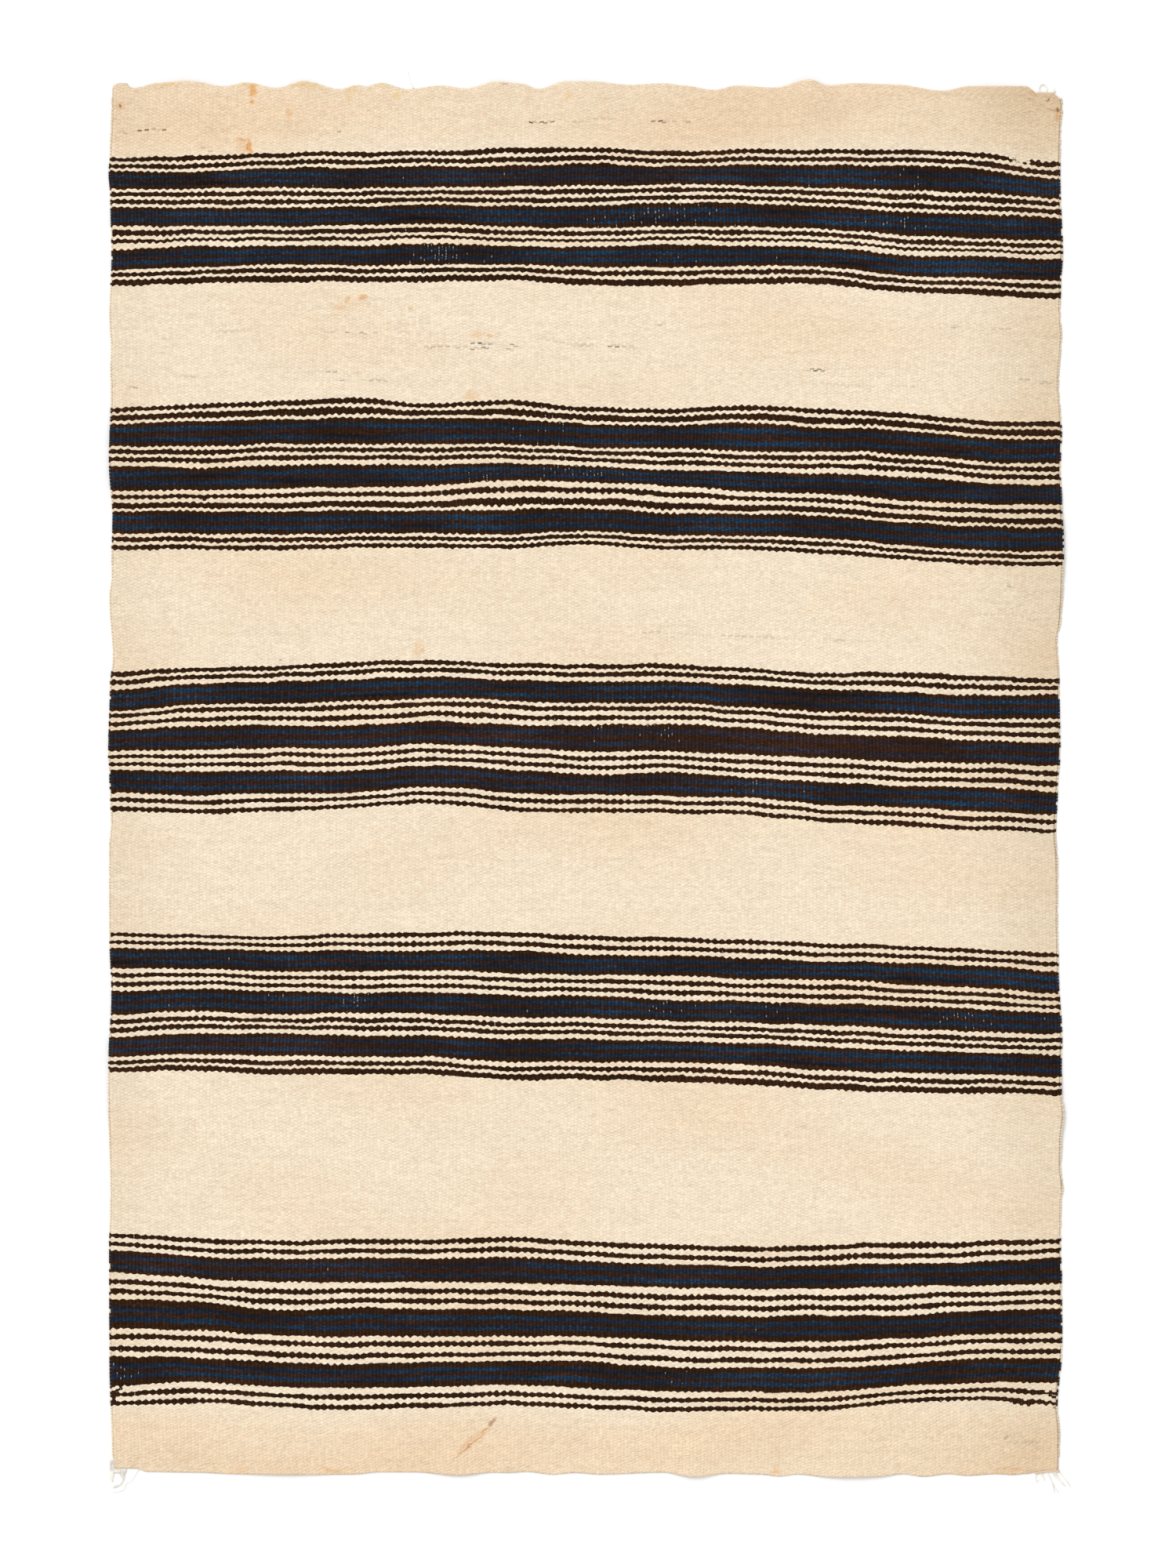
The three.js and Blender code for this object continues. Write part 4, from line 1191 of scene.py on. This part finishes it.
def spline(rows, steps):
    """A smooth run through rows of [across, down, width]."""
    rows = np.array(rows, float)
    far = distances(rows)
    at = np.linspace(0, far[-1], steps)
    return np.stack([smooth_through(far, rows[:, k], at) for k in range(3)], axis=-1)


def sideways(run):
    """The way to one side of a run, at each of its places."""
    ahead = np.gradient(run[:, :2], axis=0)
    ahead /= np.linalg.norm(ahead, axis=1, keepdims=True)
    return np.stack([-ahead[:, 1], ahead[:, 0]], axis=-1)


def locks(rows, height, count, rng, loose=0.5):
    """A frayed strand as fibre locks that lie side by side, twist a little and part towards the end."""
    run = spline(rows, 26)
    thick = sizes().fibre / MM
    side = sideways(run)
    share = np.linspace(0, 1, len(run))
    parts = []
    for n in range(count):
        lane = (n + 0.5) / count * 2 - 1 + rng.normal(0, 0.08)
        phase = rng.uniform(0, 2 * math.pi)
        turns = rng.uniform(0.4, 1.2)
        offset = lane * run[:, 2] / 2 * np.cos(turns * share * 1.6 + 0.2 * phase)
        offset = np.clip(offset, -run[:, 2] / 2, run[:, 2] / 2)
        stray = rng.normal(0, loose) * share**2 * 1.6
        radius = thick / 2 * rng.uniform(0.75, 1.15) * (1 - 0.55 * share**2)
        lay = 0.5 + 0.5 * np.sin(phase + turns * 2 * math.pi * share)
        room = np.maximum(height - 2 * radius, 0)
        z = radius + room * lay * (1 - 0.75 * share)
        stop = len(run) - int(rng.integers(0, 6))
        flat = run[:, :2] + side * (offset + stray)[:, None]
        path = np.concatenate([flat, z[:, None]], axis=1)[:stop]
        parts.append(tube(path, radius[:stop], 4, phase=math.pi / 4))
    return parts


def plied(rows, height, twist=YARN_TWIST, steps=60, plies=2):
    """A strand of spun yarn as plies twisted round each other."""
    run = spline(rows, steps)
    far = distances(run)
    side = sideways(run)
    parts = []
    for ply in range(plies):
        turn = 2 * math.pi * (far / twist + ply / plies)
        radius = np.minimum(run[:, 2] * 0.3, height * 0.3)
        swing = np.minimum(run[:, 2] / 2, height / 2) - radius
        flat = run[:, :2] + side * (swing * np.cos(turn))[:, None]
        z = radius + swing * (1 + np.sin(turn))
        parts.append(tube(np.concatenate([flat, z[:, None]], axis=1), radius, 6))
    return parts


def ribbon(rows, height, narrow=0.86):
    """A thin flat bed under a strand's fibres."""
    run = spline(rows, 24)
    path = np.concatenate([run[:, :2], np.full((len(run), 1), height / 2)], axis=1)
    return [tube(path, run[:, 2] / 2 * narrow, 8, tall=height / 2)]


def fringe(rows, height, count, rng):
    """Short fibres across a strip, ragged at their lower ends."""
    run = spline(rows, count)
    thick = sizes().fibre / MM
    parts = []
    for across, down, width in run:
        steps = np.linspace(0, 1, 7)
        drop = width * 1.02 + rng.uniform(-0.5, 1.3)
        sway = rng.normal(0, 0.5)
        x = across + rng.normal(0, 0.15) + sway * steps**2
        y = down - width / 2 + drop * steps
        radius = thick / 2 * rng.uniform(0.8, 1.2) * (1 - 0.5 * steps**3)
        z = radius + (height - 2 * radius) * (0.35 + 0.6 * rng.random()) * (1 - 0.7 * steps**2)
        parts.append(tube(np.stack([x, y, z], axis=-1), radius, 4, phase=math.pi / 4))
    return parts


def frayed_piece(name, parts, edge_parts, wool, edge_wool):
    """A frayed place as one piece, with its backing in the cloth's own wool."""
    points, faces, counts = joined(parts + edge_parts)
    is_edge = np.zeros(len(faces), "i")
    is_edge[sum(counts[:len(parts)]):] = 1
    return new_piece(
        f"{name}_wool", in_frame(*points.T), faces, [wool, edge_wool], [name], is_edge
    )


class BLANKET_OT_weave_cloth(bpy.types.Operator):
    """Weave the striped cloth as one closed sheet"""

    bl_idname = "blanket.weave_cloth"
    bl_label = "Weave the cloth"

    def execute(self, context):
        weave_cloth()
        return {"FINISHED"}


class BLANKET_OT_bind_sides(bpy.types.Operator):
    """Bind the two sides with a cord and the turns of the weft"""

    bl_idname = "blanket.bind_sides"
    bl_label = "Bind the sides"

    def execute(self, context):
        woven = bpy.data.materials["striped weave"]
        cord_wool = spun_wool("plied cord", colours().cord)
        bind_side("selvedge_cord_left", LEFT_EDGE, -1, LEFT_BARE, woven, cord_wool)
        bind_side("selvedge_cord_right", RIGHT_EDGE, 1, RIGHT_BARE, woven, cord_wool)
        return {"FINISHED"}


class BLANKET_OT_fray_corners(bpy.types.Operator):
    """Lay the frayed corner cords and the corner loop"""

    bl_idname = "blanket.fray_corners"
    bl_label = "Fray the corners"

    def execute(self, context):
        wool = spun_wool("frayed fibres", colours().frayed)
        edge_wool = spun_wool("edge picks", colours().edge)
        rng = np.random.default_rng(3)
        for name, (backing, *ends), is_wide in (
            ("frayed_ends_bottom_left", BOTTOM_LEFT_ENDS, True),
            ("frayed_ends_bottom_right", BOTTOM_RIGHT_ENDS, False),
        ):
            parts = []
            for rows in ends:
                widest = max(row[2] for row in rows)
                parts += ribbon(rows, BED_HEIGHT)
                parts += locks(rows, TUFT_HEIGHT, max(4, round(widest * FIBRES_PER_MM)), rng)
            edge_parts = [] if is_wide else ribbon(backing, TUFT_HEIGHT, narrow=1)
            if is_wide:
                parts += ribbon(backing, BED_HEIGHT)
                parts += fringe(backing, TUFT_HEIGHT, BACKING_FIBRES, rng)
            frayed_piece(name, parts, edge_parts, wool, edge_wool)
        backing, loop, nub = TOP_RIGHT_ENDS
        parts = plied(loop, TUFT_HEIGHT, LOOP_TWIST)
        parts += ribbon(nub, BED_HEIGHT)
        parts += locks(nub, TUFT_HEIGHT, NUB_FIBRES, rng, loose=0.2)
        edge_parts = ribbon(backing, TUFT_HEIGHT, narrow=1)
        frayed_piece("corner_loop_top_right", parts, edge_parts, wool, edge_wool)
        return {"FINISHED"}


class BLANKET_OT_lay_threads(bpy.types.Operator):
    """Lay the two loose threads at the ends"""

    bl_idname = "blanket.lay_threads"
    bl_label = "Lay the loose threads"

    def execute(self, context):
        wool = spun_wool("loose thread", colours().frayed)
        for name, strands in (("loose_thread_top", TOP_THREAD), ("loose_thread_bottom", BOTTOM_THREAD)):
            parts = []
            for rows in strands:
                parts += plied(rows, THREAD_HEIGHT, steps=70)
            frayed_piece(name, parts, [], wool, wool)
        return {"FINISHED"}


class BLANKET_OT_set_stage(bpy.types.Operator):
    """Set the pale floor, the soft light and the camera above"""

    bl_idname = "blanket.set_stage"
    bl_label = "Set the stage"

    def execute(self, context):
        scene = context.scene
        scene.view_settings.view_transform = "Standard"
        bpy.ops.object.select_all(action="DESELECT")
        bpy.ops.mesh.primitive_plane_add(size=FLOOR_SIDE, location=(0, 0, 0))
        floor = context.active_object
        floor.name = "floor"
        recipe = Recipe("floor")
        floor.data.materials.append(recipe.finish(colours().floor, sheen=0.0, roughness=0.9))

        middle = in_frame(PHOTO_WIDE / 2 - PHOTO_LEFT, PHOTO_TALL / 2 - PHOTO_TOP, 0)
        lens = bpy.data.cameras.new("camera")
        lens.lens = LENS
        camera = bpy.data.objects.new("camera", lens)
        height = PHOTO_TALL * MM * LENS / lens.sensor_width
        camera.location = (middle[0], middle[1], height)
        scene.collection.objects.link(camera)
        scene.camera = camera

        world = bpy.data.worlds.new("soft light")
        world.use_nodes = True
        world.node_tree.nodes["Background"].inputs[0].default_value = (1, 1, 1, 1)
        world.node_tree.nodes["Background"].inputs[1].default_value = SKY_STRENGTH
        scene.world = world
        lamp = bpy.data.lights.new("key", "SUN")
        lamp.energy = KEY_STRENGTH
        lamp.angle = math.radians(KEY_SPREAD)
        key = bpy.data.objects.new("key", lamp)
        key.rotation_euler = (-Vector(KEY_FROM)).to_track_quat("-Z", "Y").to_euler()
        scene.collection.objects.link(key)
        return {"FINISHED"}


STEPS = (
    BLANKET_OT_weave_cloth,
    BLANKET_OT_bind_sides,
    BLANKET_OT_fray_corners,
    BLANKET_OT_lay_threads,
    BLANKET_OT_set_stage,
)


class BLANKET_PT_panel(bpy.types.Panel):
    """The blanket's steps, sizes and colours"""

    bl_idname = "BLANKET_PT_panel"
    bl_label = "Striped wool blanket"
    bl_space_type = "VIEW_3D"
    bl_region_type = "UI"
    bl_category = "Blanket"

    def draw(self, context):
        for step in STEPS:
            self.layout.operator(step.bl_idname)
        for group in (context.scene.blanket_sizes, context.scene.blanket_colours):
            box = self.layout.box()
            for name in group.bl_rna.properties.keys():
                if name not in ("rna_type", "name"):
                    box.prop(group, name)


CLASSES = (BlanketSizes, BlanketColours, *STEPS, BLANKET_PT_panel)


def register():
    for kind in CLASSES:
        bpy.utils.register_class(kind)
    bpy.types.Scene.blanket_sizes = bpy.props.PointerProperty(type=BlanketSizes)
    bpy.types.Scene.blanket_colours = bpy.props.PointerProperty(type=BlanketColours)


def unregister():
    del bpy.types.Scene.blanket_colours
    del bpy.types.Scene.blanket_sizes
    for kind in reversed(CLASSES):
        bpy.utils.unregister_class(kind)


def main():
    register()
    bpy.ops.object.select_all(action="DESELECT")
    for step in STEPS:
        group, name = step.bl_idname.split(".")
        getattr(getattr(bpy.ops, group), name)()


if __name__ == "__main__":
    main()
